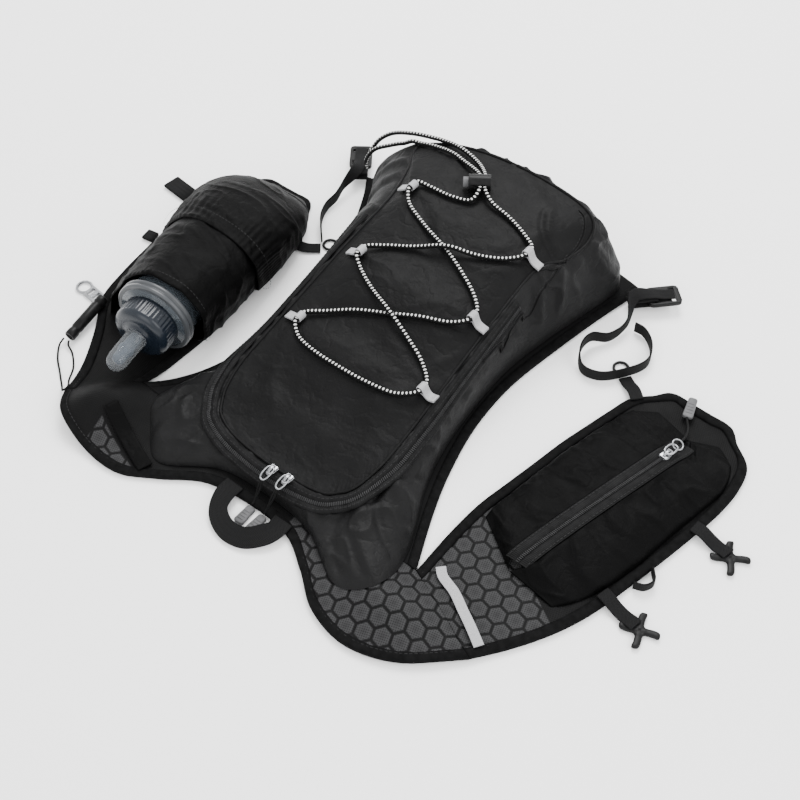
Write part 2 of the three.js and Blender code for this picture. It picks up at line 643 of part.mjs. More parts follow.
// The height of the meshes' upper side over a place.
function heightOn(meshes, x, y) {
  let highest = 0;
  for (const mesh of meshes) {
    const position = mesh.geometry.getAttribute('position');
    const corners = mesh.geometry.index.array;
    for (let i = 0; i < corners.length; i += 3) {
      const [a, b, c] = [0, 1, 2].map((k) => at(0, 0).fromBufferAttribute(position, corners[i + k]));
      const area = (b.x - a.x) * (c.y - a.y) - (c.x - a.x) * (b.y - a.y);
      if (Math.abs(area) < 1e-9) continue;
      const u = ((x - a.x) * (c.y - a.y) - (c.x - a.x) * (y - a.y)) / area;
      const v = ((b.x - a.x) * (y - a.y) - (x - a.x) * (b.y - a.y)) / area;
      if (u < 0 || v < 0 || u + v > 1) continue;
      highest = Math.max(highest, a.z + u * (b.z - a.z) + v * (c.z - a.z));
    }
  }
  return highest;
}

// Geometry built on its own axes, then turned and moved: tilt about Y first, then turn about Z.
function placed(geometry, place, { turn = 0, tilt = 0, roll = 0 } = {}) {
  const matrix = new THREE.Matrix4()
    .makeTranslation(place.x, place.y, place.z)
    .multiply(new THREE.Matrix4().makeRotationZ(turn))
    .multiply(new THREE.Matrix4().makeRotationY(tilt))
    .multiply(new THREE.Matrix4().makeRotationX(roll));
  return geometry.applyMatrix4(matrix);
}

function plate(outline, holes, thickness) {
  const shape = new THREE.Shape(outline.map(([x, y]) => new THREE.Vector2(x, y)));
  for (const hole of holes) shape.holes.push(new THREE.Path(hole.map(([x, y]) => new THREE.Vector2(x, y))));
  return new THREE.ExtrudeGeometry(shape, { depth: thickness, bevelEnabled: false, curveSegments: 6 });
}

function rounded(length, width, radius, steps = 3) {
  const corners = [];
  for (const [sx, sy, start] of [[1, -1, -0.5], [1, 1, 0], [-1, 1, 0.5], [-1, -1, 1]]) {
    for (let k = 0; k <= steps; k++) {
      const angle = Math.PI * (start + (0.5 * k) / steps);
      corners.push([
        sx * (length / 2 - radius) + radius * Math.cos(angle),
        sy * (width / 2 - radius) + radius * Math.sin(angle),
      ]);
    }
  }
  return corners;
}

const circle = (radius, sides, x = 0, y = 0) => Array.from({ length: sides }, (_, k) => [
  x + radius * Math.cos((2 * Math.PI * k) / sides), y + radius * Math.sin((2 * Math.PI * k) / sides),
]);

// Loops of reflective tape that carry the bungee at the front panel's edges, by the places of their eyes.
const TAB_EYE = BUNGEE_DIAMETER / 2 + 0.45;
const TAB_OUTER = TAB_EYE + TAB_WALL;
const BUNGEE_TABS = [
  { name: 'l1', across: -0.556, along: 0.535 },
  { name: 'l2', across: -0.5, along: 0.129 },
  { name: 'l3', across: -0.556, along: -0.253 },
  { name: 'r1', across: 0.644, along: 0.518 },
  { name: 'r2', across: 0.633, along: 0.129 },
  { name: 'r3', across: 0.678, along: -0.247 },
].map(({ name, across, along }) => ({ name, side: Math.sign(across), ...onBack(across, along, 0) }));

function bungeeTab({ x, y, side }) {
  const outline = [[TAB_TAIL + TAB_OUTER, -TAB_WALL], [TAB_TAIL + TAB_OUTER, TAB_WALL]];
  const bend = 10;
  for (let k = 1; k < bend; k++) {
    const angle = 0.2 * Math.PI + (1.6 * Math.PI * k) / bend;
    outline.push([TAB_OUTER * Math.cos(angle), TAB_OUTER * Math.sin(angle)]);
  }
  const loop = plate(outline, [circle(TAB_EYE, 10).reverse()], TAB_WIDTH);
  placed(loop, at(0, TAB_WIDTH / 2, 0), { roll: Math.PI / 2 });
  const reach = TAB_TAIL + TAB_OUTER;
  const eye = tabEye({ x, y });
  const slopes = [0.25, 0.4, 0.55, 0.7, 0.85, 1].flatMap((share) => [-0.5, 0, 0.5].map((j) => {
    const half = mix(TAB_OUTER, TAB_WALL, share);
    const under = heightOn(bagSkin, x + side * reach * share, y + j * TAB_WIDTH) + 2 * GAP + half;
    return (eye - under) / (reach * share);
  }));
  return placed(loop, at(x, y, eye), { turn: side > 0 ? 0 : Math.PI, tilt: Math.atan(Math.min(...slopes)) });
}

const bagSkin = [frontCloth, bagCloth, pipingBead, zipBand];

function tabEye({ x, y }) {
  const under = [-1, 0, 1].flatMap((j) => [-0.8, 0, 0.8].map((i) =>
    heightOn(bagSkin, x + i * TAB_OUTER, y + (j * TAB_WIDTH) / 2)));
  return TAB_OUTER + GAP + Math.max(...under);
}

for (const tab of BUNGEE_TABS) put(`bungee_tab_${tab.name}`, bungeeTab(tab), REFLECTIVE);

// The cord lock: a barrel with a bore for its spring button and one hole for both strands of the bungee.
const LOCK = { ...onBack(-0.1, 0.706, 0), turn: 0.61 };
const LOCK_WALL = 1.2;
const BUTTON_GRIP = 2; // how deep the button stays in the bore when it is out
const BUTTON_OUT = 4;
const STRAND_HOLE = 2 * BUNGEE_DIAMETER + 1.4;
const BORE_DEPTH = BUTTON_GRIP + LOCK_TRAVEL + 2 * GAP;
const STRAND_MIDDLE = -LOCK_LENGTH / 2 + BORE_DEPTH + LOCK_WALL + STRAND_HOLE / 2;
const STRAND_APART = BUNGEE_DIAMETER + 0.7;
const lockAxis = at(Math.cos(LOCK.turn), Math.sin(LOCK.turn));
const strandRun = at(-Math.sin(LOCK.turn), Math.cos(LOCK.turn));

function rod(diameter, length, start, sides = 16) {
  const geometry = new THREE.CylinderGeometry(diameter / 2, diameter / 2, length, sides);
  return geometry.rotateZ(-Math.PI / 2).translate(start + length / 2, 0, 0);
}

function box(length, width, height, x = 0, y = 0, z = 0) {
  return new THREE.BoxGeometry(length, width, height).translate(x, y, z);
}

const lockPlace = at(LOCK.x, LOCK.y, GAP + LOCK_DIAMETER / 2 + Math.max(...[-0.5, 0, 0.5].map((share) => {
  const under = at(LOCK.x, LOCK.y).addScaledVector(lockAxis, share * LOCK_LENGTH);
  return heightOn(bagSkin, under.x, under.y);
})));
const barrel = cut(
  rod(LOCK_DIAMETER, LOCK_LENGTH, -LOCK_LENGTH / 2),
  rod(BUTTON_DIAMETER + 2 * GAP, BORE_DEPTH + 1, -LOCK_LENGTH / 2 - 1),
  box(STRAND_HOLE, 2 * LOCK_DIAMETER, BUNGEE_DIAMETER + 1.2, STRAND_MIDDLE),
);
put('cord_lock', placed(barrel, lockPlace, { turn: LOCK.turn }), PLASTIC);
const button = rod(BUTTON_DIAMETER, BUTTON_OUT + BUTTON_GRIP, -LOCK_LENGTH / 2 - BUTTON_OUT);
put('cord_lock_button', placed(button, lockPlace, { turn: LOCK.turn }), GREY_PLASTIC);

// The bungee's route, from one tail's end to the other's. A row is a place with the height of the cord's
// middle, over the cloth (lift) or over the floor (z), a pass through a tab's eye, or a pass through the
// lock on one of its strands.
const ON_CLOTH = BUNGEE_DIAMETER / 2 + 0.6;
const OVER_CORD = ON_CLOTH + BUNGEE_DIAMETER + 0.7;
const BUNGEE_ROUTE = [
  { across: -1.456, along: 0.782, z: 24 }, { across: -1.444, along: 0.782, z: 34 },
  { across: -1.367, along: 0.794, z: 46 }, { across: -1.244, along: 0.818, z: 56 },
  { across: -1.089, along: 0.841, z: 65 }, { across: -0.867, along: 0.847, z: 71 },
  { across: -0.622, along: 0.835, lift: 3.2 }, { across: -0.378, along: 0.8, lift: ON_CLOTH + 0.6 },
  { strand: -1, step: 8 }, { strand: -1, step: 0 }, { strand: -1, step: -8 },
  { across: -0.056, along: 0.612, lift: ON_CLOTH + 0.6 },
  { across: -0.222, along: 0.582, lift: ON_CLOTH }, { across: -0.411, along: 0.579, lift: ON_CLOTH },
  { tab: 'l1', step: 5 }, { tab: 'l1', step: 0 }, { tab: 'l1', step: -5 },
  { across: -0.478, along: 0.453, lift: ON_CLOTH }, { across: -0.222, along: 0.388, lift: ON_CLOTH },
  { across: 0.089, along: 0.329, lift: ON_CLOTH },
  { across: 0.333, along: 0.271, lift: ON_CLOTH + 0.4 },
  { across: 0.533, along: 0.212, lift: ON_CLOTH + 0.5 }, { tab: 'r2', step: 5 },
  { tab: 'r2', step: 0 }, { tab: 'r2', step: -5 },
  { across: 0.522, along: 0.053, lift: ON_CLOTH + 0.5 },
  { across: 0.289, along: 0, lift: ON_CLOTH + 0.5 }, { across: 0.056, along: -0.053, lift: ON_CLOTH },
  { across: -0.189, along: -0.106, lift: ON_CLOTH + 0.6 },
  { across: -0.411, along: -0.171, lift: ON_CLOTH + 0.6 }, { tab: 'l3', step: 5 },
  { tab: 'l3', step: 0 }, { tab: 'l3', step: -5 }, { across: -0.456, along: -0.329, lift: ON_CLOTH },
  { across: -0.267, along: -0.353, lift: ON_CLOTH }, { across: 0, along: -0.359, lift: ON_CLOTH },
  { across: 0.278, along: -0.353, lift: ON_CLOTH }, { across: 0.533, along: -0.329, lift: ON_CLOTH },
  { tab: 'r3', step: -5 }, { tab: 'r3', step: 0 }, { tab: 'r3', step: 5 },
  { across: 0.544, along: -0.153, lift: ON_CLOTH },
  { across: 0.322, along: -0.1, lift: ON_CLOTH + 0.6 },
  { across: 0.056, along: -0.053, lift: OVER_CORD },
  { across: -0.189, along: 0, lift: ON_CLOTH + 0.6 }, { across: -0.4, along: 0.059, lift: ON_CLOTH },
  { tab: 'l2', step: -5 }, { tab: 'l2', step: 0 }, { tab: 'l2', step: 5 },
  { across: -0.378, along: 0.212, lift: ON_CLOTH },
  { across: -0.156, along: 0.271, lift: ON_CLOTH + 0.6 },
  { across: 0.089, along: 0.329, lift: OVER_CORD },
  { across: 0.333, along: 0.376, lift: ON_CLOTH + 0.6 },
  { across: 0.533, along: 0.435, lift: ON_CLOTH }, { tab: 'r1', step: -5 }, { tab: 'r1', step: 0 },
  { tab: 'r1', step: 5 }, { across: 0.511, along: 0.588, lift: ON_CLOTH },
  { across: 0.3, along: 0.629, lift: ON_CLOTH }, { across: 0.111, along: 0.647, lift: ON_CLOTH + 1.5 },
  { strand: 1, step: -8 }, { strand: 1, step: 0 }, { strand: 1, step: 8 },
  { across: -0.289, along: 0.835, lift: ON_CLOTH + 0.6 }, { across: -0.556, along: 0.882, lift: 4 },
  { across: -0.844, along: 0.9, z: 73 }, { across: -1.089, along: 0.888, z: 70 },
  { across: -1.289, along: 0.876, z: 60 }, { across: -1.4, along: 0.853, z: 48 },
  { across: -1.467, along: 0.824, z: 36 },
];

function routePoint(row) {
  if (row.tab) {
    const tab = BUNGEE_TABS.find(({ name }) => name === row.tab);
    return at(tab.x, tab.y + row.step, tabEye(tab));
  }
  if (row.strand) {
    return lockPlace.clone()
      .addScaledVector(lockAxis, STRAND_MIDDLE + (row.strand * STRAND_APART) / 2)
      .addScaledVector(strandRun, row.step);
  }
  const place = onBack(row.across, row.along);
  return place.setZ(row.z ?? heightOn(bagSkin, place.x, place.y) + row.lift);
}

function throughPoints(points) {
  const curve = smooth(points);
  return evenCurve((t) => curve.getPoint(t));
}

const bungeePoints = BUNGEE_ROUTE.map(routePoint);
put('bungee_cord', tube(throughPoints(bungeePoints), BUNGEE_DIAMETER, bungeePoints.length - 1, 8), CORD);

// Zip sliders at the neck end, each with a cord to a moulded pull that lies on the shoulder yoke.
const SLIDER_LENGTH = 9;
const SLIDER_WIDTH = 6.5;
const SLIDER_HEIGHT = 3.2;
const PULL_CORD = 1.8;
const PULL_LENGTH = 16;
const PULL_WIDTH = 8;
const PULL_THICKNESS = 3;
const NECK_EDGE = -1.006; // just past the neck binding
const ZIP_SLIDERS = [
  { name: 'a', across: 0.133, along: -0.865, pullAcross: 0.167, pullAlong: -1.076, turn: 1.6 },
  { name: 'b', across: 0.289, along: -0.865, pullAcross: 0.289, pullAlong: -1.082, turn: 1.55 },
];
const harness = [
  'back_panel', 'shoulder_yoke', 'strap_left', 'strap_right', 'binding_neck', 'binding_side_left',
  'binding_side_right', 'binding_strap_left', 'binding_strap_right',
].map((name) => pack.getObjectByName(name));
const neckSkin = [...harness, bagCloth, pipingBead, zipBand];

function highestNear(meshes, x, y, reach) {
  const steps = spread(-reach, reach, 4);
  return Math.max(...steps.flatMap((dx) => steps.map((dy) => heightOn(meshes, x + dx, y + dy))));
}

for (const row of ZIP_SLIDERS) {
  const place = onBack(row.across, row.along, 0);
  const pullPlace = onBack(row.pullAcross, row.pullAlong, GAP);
  place.z = highestNear(neckSkin, place.x, place.y, SLIDER_LENGTH / 2 + GAP) + 3 * GAP;
  const body = plate(rounded(SLIDER_LENGTH, SLIDER_WIDTH, 2, 2), [], SLIDER_HEIGHT);
  put(`zip_slider_${row.name}`, placed(body, place), METAL);
  const pull = plate(rounded(PULL_LENGTH, PULL_WIDTH, 2.5, 2), [], PULL_THICKNESS);
  put(`zip_pull_${row.name}`, placed(pull, pullPlace, { turn: row.turn }), GREY_PLASTIC);
  const start = place.y - SLIDER_WIDTH / 2 - 4 * GAP;
  const points = [0, 0.2, 0.4, 0.6, 0.8, 1].map((t) => {
    const [x, y] = [mix(place.x, pullPlace.x, t), mix(start, NECK_EDGE * BAG_HALF_LENGTH, t)];
    return at(x, y, highestNear(neckSkin, x, y, 2.5) + PULL_CORD);
  });
  points.push(pullPlace.clone().add(at(0, PULL_LENGTH / 2 + 2 * GAP, PULL_THICKNESS / 2)));
  put(`zip_cord_${row.name}`, tube(throughPoints(points), PULL_CORD, 8), CORD);
}

// Webbing, as a line of places with their rise in shares of its full width, and the lean of its width from
// level: a lean of 1 stands it on edge.
function webbing(rows, place, width, steps) {
  const curve = smooth(rows.map((row) => place(row.across, row.along, row.rise * WEBBING_WIDTH)));
  const places = spread(0, 1, steps);
  const points = places.map((t) => curve.getPoint(t));
  const level = sideways(points);
  const across = places.map((t, i) => {
    const lean = column(rows, 'lean', t) * (Math.PI / 2);
    return level[i].clone().multiplyScalar(Math.cos(lean)).add(at(0, 0, Math.sin(lean)));
  });
  const rise = points.map((_, i) => {
    const run = points[Math.min(i + 1, steps)].clone().sub(points[Math.max(i - 1, 0)]).normalize();
    return across[i].clone().cross(run).normalize();
  });
  return ribbon(points, across, rise, width, WEBBING_THICKNESS);
}

put('haul_loop', webbing([
  { across: -0.1, along: -0.959, rise: 0.42, lean: 0 },
  { across: -0.1, along: -1.024, rise: 0.433, lean: -0.03 },
  { across: -0.022, along: -1.106, rise: 0.5, lean: -0.3 },
  { across: 0.133, along: -1.147, rise: 0.453, lean: -0.4 },
  { across: 0.289, along: -1.135, rise: 0.467, lean: -0.4 },
  { across: 0.389, along: -1.082, rise: 0.52, lean: -0.3 },
  { across: 0.422, along: -1.029, rise: 0.433, lean: -0.03 },
  { across: 0.422, along: -0.976, rise: 0.433, lean: 0 },
], onBack, WEBBING_WIDTH, 18), WEBBING);

// Ladder buckles at the bottom corners, with the webbing that carries them and the thin webbing on them
const BUCKLE_LENGTH = 26;
const BUCKLE_WIDTH = 19;
const BUCKLE_THICKNESS = 3.5;
const BUCKLE_SLOT = 3.8;

function ladderBuckle() {
  const slots = [-0.27, 0.27].map((share) =>
    box(BUCKLE_SLOT, BUCKLE_WIDTH - 5, 3 * BUCKLE_THICKNESS, share * BUCKLE_LENGTH));
  return cut(plate(rounded(BUCKLE_LENGTH, BUCKLE_WIDTH, 3, 2), [], BUCKLE_THICKNESS), ...slots);
}

const BUCKLES = [
  { side: 'left', across: -1.7, along: 0.9, turn: 2.2, reach: 17 },
  { side: 'right', across: 1.489, along: 1.006, turn: 0.8, reach: 21 },
];
const BUCKLE_LIFT = WEBBING_WIDTH / 2 + 0.1; // the buckles stand on their folded webbing
for (const { side, across, along, turn } of BUCKLES) {
  put(`ladder_lock_${side}`, placed(ladderBuckle(), onBack(across, along, BUCKLE_LIFT), { turn }), PLASTIC);
}

// A flat loop of webbing through a buckle's slot: over the bar, round it and back underneath.
function foldedLoop({ across, along, turn, reach }, slot, width, side) {
  const bar = slot + (side * BUCKLE_SLOT) / 2;
  const middle = BUCKLE_THICKNESS / 2;
  const half = middle + GAP + WEBBING_THICKNESS / 2;
  const outer = half + WEBBING_THICKNESS / 2;
  const inner = half - WEBBING_THICKNESS / 2;
  const end = slot + side * reach;
  const outline = [
    [end, middle + outer], [slot, middle + outer], [slot - side * 0.7, middle + outer * 0.6],
    [slot - side * 0.7, middle - outer * 0.6], [slot, middle - outer], [end, middle - outer],
    [end, middle - inner], [bar - side * 1.4, middle - inner], [bar - side * 1.4, middle + inner],
    [end, middle + inner],
  ];
  const shape = plate(side > 0 ? outline : outline.slice().reverse(), [], width);
  placed(shape, at(0, width / 2, 0), { roll: Math.PI / 2 });
  return placed(shape, onBack(across, along, BUCKLE_LIFT), { turn });
}

for (const row of BUCKLES) {
  put(`corner_webbing_${row.side}`, foldedLoop(row, -0.27 * BUCKLE_LENGTH, BUCKLE_WIDTH - 6, -1), WEBBING);
}

// Thin webbing on edge that hangs from the bottom corners, and the loops at the ends of the straps.
put('adjuster_right', webbing([
  { across: 1.556, along: 1.035, rise: 0.8, lean: 0 }, { across: 1.489, along: 1, rise: 0.84, lean: 0 },
  { across: 1.411, along: 0.959, rise: 0.973, lean: 0 },
  { across: 1.322, along: 0.888, rise: 1.133, lean: 0.4 },
  { across: 1.4, along: 0.765, rise: 0.533, lean: 1 },
  { across: 1.356, along: 0.659, rise: 0.413, lean: 1 },
  { across: 1.256, along: 0.588, rise: 0.72, lean: 1 },
  { across: 1.256, along: 0.506, rise: 0.72, lean: 1 },
  { across: 1.356, along: 0.435, rise: 0.387, lean: 1 },
  { across: 1.511, along: 0.441, rise: 0.373, lean: 1 },
  { across: 1.667, along: 0.529, rise: 0.373, lean: 1 },
  { across: 1.756, along: 0.635, rise: 0.373, lean: 1 },
  { across: 1.689, along: 0.729, rise: 0.373, lean: 1 },
  { across: 1.556, along: 0.782, rise: 0.4, lean: 1 },
  { across: 1.467, along: 0.782, rise: 0.427, lean: 1 },
], onBack, NARROW_WEBBING, 30), WEBBING);
put('adjuster_left', webbing([
  { across: -1.756, along: 0.941, rise: 0.8, lean: 0 }, { across: -1.7, along: 0.9, rise: 0.84, lean: 0 },
  { across: -1.633, along: 0.853, rise: 0.973, lean: 0 },
  { across: -1.567, along: 0.782, rise: 1.133, lean: 0.4 },
  { across: -1.578, along: 0.688, rise: 0.733, lean: 1 },
  { across: -1.556, along: 0.612, rise: 0.467, lean: 1 },
  { across: -1.556, along: 0.541, rise: 0.373, lean: 1 },
  { across: -1.5, along: 0.465, rise: 0.373, lean: 1 },
  { across: -1.411, along: 0.406, rise: 0.373, lean: 1 },
  { across: -1.324, along: 0.356, rise: 0.373, lean: 1 },
], onBack, NARROW_WEBBING, 20), WEBBING);

const RING_DIAMETER = 11;
const RING_WIRE = 2.2;

function ring(diameter, wire, sides = 12) {
  return new THREE.TorusGeometry(diameter / 2, wire / 2, 6, sides);
}

const RING_LIFT = RING_WIRE / 2 + GAP;
const endRing = () => ring(RING_DIAMETER, RING_WIRE);
put('strap_end_loop_right', webbing([
  { across: 0.369, along: 0.911, rise: 0.42, lean: 0 },
  { across: 0.302, along: 0.939, rise: 0.373, lean: 0 },
  { across: 0.235, along: 0.96, rise: 0.173, lean: 0 },
  { across: 0.183, along: 0.977, rise: 0.107, lean: 0 },
], onRight, NARROW_WEBBING, 6), WEBBING);
put('strap_end_ring_right', placed(endRing(), onRight(0.111, 1.006, RING_LIFT)), PLASTIC);
put('strap_end_loop_left', webbing([
  { across: 0.112, along: 0.788, rise: 0.2, lean: 0 }, { across: 0.032, along: 0.8, rise: 0.147, lean: 0 },
  { across: -0.053, along: 0.83, rise: 0.093, lean: 0 },
], onLeft, NARROW_WEBBING, 5), WEBBING);
put('strap_end_ring_left', placed(endRing(), onLeft(-0.087, 0.864, RING_LIFT)), PLASTIC);

// Reflective strip across the right shoulder
const onShoulder = (across, along, z) => {
  const place = onRight(across, along, z);
  place.z += lie(place.x, place.y);
  return place;
};
put('reflective_strip', webbing([
  { across: 0.159, along: 0.03, rise: 0.36, lean: 0 },
  { across: 0.283, along: 0.009, rise: 0.333, lean: 0 },
  { across: 0.407, along: -0.025, rise: 0.347, lean: 0 },
  { across: 0.502, along: -0.051, rise: 0.4, lean: 0 },
], onShoulder, TAB_WIDTH, 6), REFLECTIVE);

// Pocket shells over the left strap. A section row places a point between the crest, the foot, the widest
// place and the outer foot; up is its share of the pocket's height.
const POCKET_HEIGHT = 2 * COLLAR_RADIUS;
const ARCH_SECTION = [
  { foot: 1, wide: 0, outer: 0, up: 0 },
  { foot: 0.93, wide: 0.07, outer: 0, up: 0.08 },
  { foot: 0.15, wide: 0.85, outer: 0, up: 0.16 },
  { foot: 0, wide: 1, outer: 0, up: 0.42 },
  { foot: 0, wide: 0.93, outer: 0, up: 0.72 },
  { foot: 0, wide: 0.55, outer: 0, up: 0.95 },
  { foot: 0, wide: 0, outer: 0.08, up: 1 },
  { foot: 0, wide: 0, outer: 0.45, up: 0.88 },
  { foot: 0, wide: 0, outer: 0.75, up: 0.56 },
  { foot: 0, wide: 0, outer: 0.93, up: 0.22 },
  { foot: 0, wide: 0, outer: 1, up: 0 },
];

function shell(rows, section, base, mouthSlant = 0) {
  const front = rows.map((row, i) => section.map((part) => {
    const share = (name) => part[name] * (row[name] - row.crest);
    const height = base + part.up * (row.top * POCKET_HEIGHT - base);
    const point = onLeft(row.crest + share('foot') + share('wide') + share('outer'), row.along, height);
    if (i === 0) point.y += mouthSlant * (point.x - onLeft(row.crest, 0).x);
    return point;
  }));
  const out = normals(front);
  const back = front.map((line, i) => line.map((point, j) => {
    if (j === 0) return point.clone().add(at(-CLOTH, 0));
    if (j === section.length - 1) return point.clone().add(at(CLOTH, 0));
    const inner = point.clone().addScaledVector(out[i][j], -CLOTH);
    inner.z = Math.max(inner.z, base + 0.2);
    return inner;
  }));
  return sheet(front, back);
}

const POCKET_ROWS = [
  { along: 0.213, foot: 0.095, wide: -0.11, crest: 0.213, outer: 0.718, top: 1.065 },
  { along: 0.345, foot: 0.109, wide: -0.101, crest: 0.27, outer: 0.842, top: 1.024 },
  { along: 0.494, foot: 0.151, wide: -0.053, crest: 0.337, outer: 0.899, top: 0.919 },
  { along: 0.643, foot: 0.194, wide: 0.013, crest: 0.404, outer: 0.956, top: 0.806 },
  { along: 0.762, foot: 0.209, wide: 0.08, crest: 0.461, outer: 0.966, top: 0.645 },
  { along: 0.843, foot: 0.27, wide: 0.223, crest: 0.518, outer: 0.89, top: 0.387 },
  { along: 0.89, foot: 0.356, wide: 0.337, crest: 0.566, outer: 0.804, top: 0.129 },
];
const SHELL_BASE = STRAP_PAD + GAP;
const FLASK_TURN = 0.19; // the flask lies a little off the strap's line
put('flask_pocket', shell(POCKET_ROWS, ARCH_SECTION, SHELL_BASE, FLASK_TURN), NYLON);

const POUCH_SECTION = [
  { foot: 1, wide: 0, outer: 0, up: 0 },
  { foot: 0.6, wide: 0.4, outer: 0, up: 0.03 },
  { foot: 0, wide: 0.97, outer: 0, up: 0.14 },
  { foot: 0, wide: 1, outer: 0, up: 0.42 },
  { foot: 0, wide: 0.93, outer: 0, up: 0.72 },
  { foot: 0, wide: 0.55, outer: 0, up: 0.95 },
  { foot: 0, wide: 0, outer: 0.08, up: 1 },
  { foot: 0, wide: 0, outer: 0.45, up: 0.88 },
  { foot: 0, wide: 0, outer: 0.75, up: 0.58 },
  { foot: 0, wide: 0, outer: 0.94, up: 0.25 },
  { foot: 0, wide: 0, outer: 1, up: 0 },
];
const POUCH_ROWS = [
  { along: 0.515, foot: 0.099, wide: -0.11, crest: 0.337, outer: 0.966, top: 0.984 },
  { along: 0.643, foot: 0.142, wide: -0.044, crest: 0.404, outer: 1.042, top: 0.887 },
  { along: 0.749, foot: 0.156, wide: 0.013, crest: 0.461, outer: 1.07, top: 0.758 },
  { along: 0.843, foot: 0.194, wide: 0.099, crest: 0.509, outer: 0.994, top: 0.565 },
  { along: 0.907, foot: 0.27, wide: 0.223, crest: 0.547, outer: 0.87, top: 0.339 },
  { along: 0.954, foot: 0.375, wide: 0.347, crest: 0.556, outer: 0.737, top: 0.145 },
];
put('upper_pouch', shell(POUCH_ROWS, POUCH_SECTION, BINDING_HEIGHT + GAP), NYLON);

// The soft flask: rings from its neck's open end to the closed bottom. The inner side lies a wall's share of
// the radius further in, and at the bottom some walls further back.
const FLASK_MIDDLE = onLeft(0.213, 0.179, SHELL_BASE + GAP + COLLAR_RADIUS);
const FLASK_ROWS = [
  { along: -0.1, across: 0.66, up: 0.66, sink: 0, wall: 0.06, back: 0 },
  { along: -0.035, across: 0.66, up: 0.66, sink: 0, wall: 0.06, back: 0 },
  { along: -0.032, across: 1.1, up: 1.1, sink: 0, wall: 0.5, back: 0 },
  { along: 0.03, across: 1.1, up: 1.1, sink: 0, wall: 0.5, back: 0 },
  { along: 0.033, across: 0.94, up: 0.94, sink: 0, wall: 0.34, back: 0 },
  { along: 0.08, across: 0.98, up: 0.98, sink: 0, wall: 0.05, back: 0 },
  { along: 0.38, across: 0.98, up: 0.88, sink: 0.1, wall: 0.05, back: 0 },
  { along: 0.68, across: 0.97, up: 0.7, sink: 0.27, wall: 0.05, back: 0 },
  { along: 0.92, across: 0.85, up: 0.5, sink: 0.45, wall: 0.05, back: 0 },
  { along: 1.03, across: 0.55, up: 0.24, sink: 0.62, wall: 0.05, back: 1.2 },
];
const FLASK_SIDES = 14;

function flaskPoint(along, across, up) {
  const place = at(across, along, up).applyAxisAngle(at(0, 0, 1), FLASK_TURN);
  return place.add(FLASK_MIDDLE);
}

function flaskRing(row, inside) {
  const along = row.along * FLASK_LENGTH - inside * row.back * FLASK_WALL;
  return Array.from({ length: FLASK_SIDES }, (_, k) => {
    const angle = (2 * Math.PI * (k + 0.5)) / FLASK_SIDES;
    const across = (row.across - inside * row.wall) * Math.cos(angle);
    const up = (row.up - inside * row.wall) * Math.sin(angle) - row.sink;
    return flaskPoint(along, across * FLASK_RADIUS, up * FLASK_RADIUS);
  });
}

const FLASK_BOTTOM = { along: 1.06, sink: 0.64 };
const flaskDrop = -FLASK_BOTTOM.sink * FLASK_RADIUS;
const flaskBottom = flaskPoint(FLASK_BOTTOM.along * FLASK_LENGTH, 0, flaskDrop);
const flaskFloor = flaskPoint(FLASK_BOTTOM.along * FLASK_LENGTH - 2 * FLASK_WALL, 0, flaskDrop);
const flaskSides = [0, 1].map((inside) => FLASK_ROWS.map((row) => flaskRing(row, inside)));
put('flask_body', cap(...flaskSides, flaskBottom, flaskFloor), CLEAR);

// The screw cap with its drinking nozzle, turned about the flask's axis.
const CAP_START = 0.035 * FLASK_LENGTH + GAP;
const NECK_TOP = 0.1 * FLASK_LENGTH + GAP;
const NOZZLE_START = CAP_START + CAP_HEIGHT;
const capProfile = [
  [0, NECK_TOP], [NECK_RADIUS + GAP, NECK_TOP], [NECK_RADIUS + GAP, CAP_START], [CAP_RADIUS, CAP_START],
  [CAP_RADIUS, NOZZLE_START - 3], [CAP_RADIUS - 3, NOZZLE_START], [NOZZLE_RADIUS, NOZZLE_START + 0.6],
  [NOZZLE_RADIUS, NOZZLE_START + NOZZLE_LENGTH - 4], [NOZZLE_RADIUS - 2.5, NOZZLE_START + NOZZLE_LENGTH],
  [0, NOZZLE_START + NOZZLE_LENGTH], [0, NECK_TOP],
];
const capBody = new THREE.LatheGeometry(capProfile.map(([r, h]) => new THREE.Vector2(r, h)), FLASK_SIDES)
  .rotateX(Math.PI).rotateZ(FLASK_TURN);
put('flask_cap', placed(capBody, FLASK_MIDDLE), BLUE_GREY);

// The zipped pocket of the right strap: two low cloth panels with the zip's mouth between them. A row gives
// the panels' inner foot, the zip's middle and the outer foot in plan, and the height of the lips.
const PHONE_HEIGHT = 15;
const PHONE_ROWS = [
  { inner: 0.102, innerAlong: 0.273, zip: 0.464, zipAlong: 0.162, outer: 0.816, outerAlong: 0.141, top: 0.333 },
  { inner: 0.135, innerAlong: 0.328, zip: 0.492, zipAlong: 0.217, outer: 0.921, outerAlong: 0.217, top: 0.767 },
  { inner: 0.178, innerAlong: 0.422, zip: 0.569, zipAlong: 0.354, outer: 1.035, outerAlong: 0.371, top: 0.933 },
  { inner: 0.226, innerAlong: 0.549, zip: 0.664, zipAlong: 0.515, outer: 1.102, outerAlong: 0.541, top: 1 },
  { inner: 0.283, innerAlong: 0.669, zip: 0.74, zipAlong: 0.643, outer: 1.154, outerAlong: 0.66, top: 1 },
  { inner: 0.34, innerAlong: 0.779, zip: 0.797, zipAlong: 0.745, outer: 1.192, outerAlong: 0.771, top: 0.933 },
  { inner: 0.416, innerAlong: 0.864, zip: 0.826, zipAlong: 0.813, outer: 1.14, outerAlong: 0.864, top: 0.6 },
  { inner: 0.53, innerAlong: 0.915, zip: 0.835, zipAlong: 0.873, outer: 1.026, outerAlong: 0.911, top: 0.347 },
];
const MOUTH = 4.4;
const PHONE_TAPE = 6.5; // one side of the zip
const LIP = MOUTH / 2 + PHONE_TAPE + GAP;
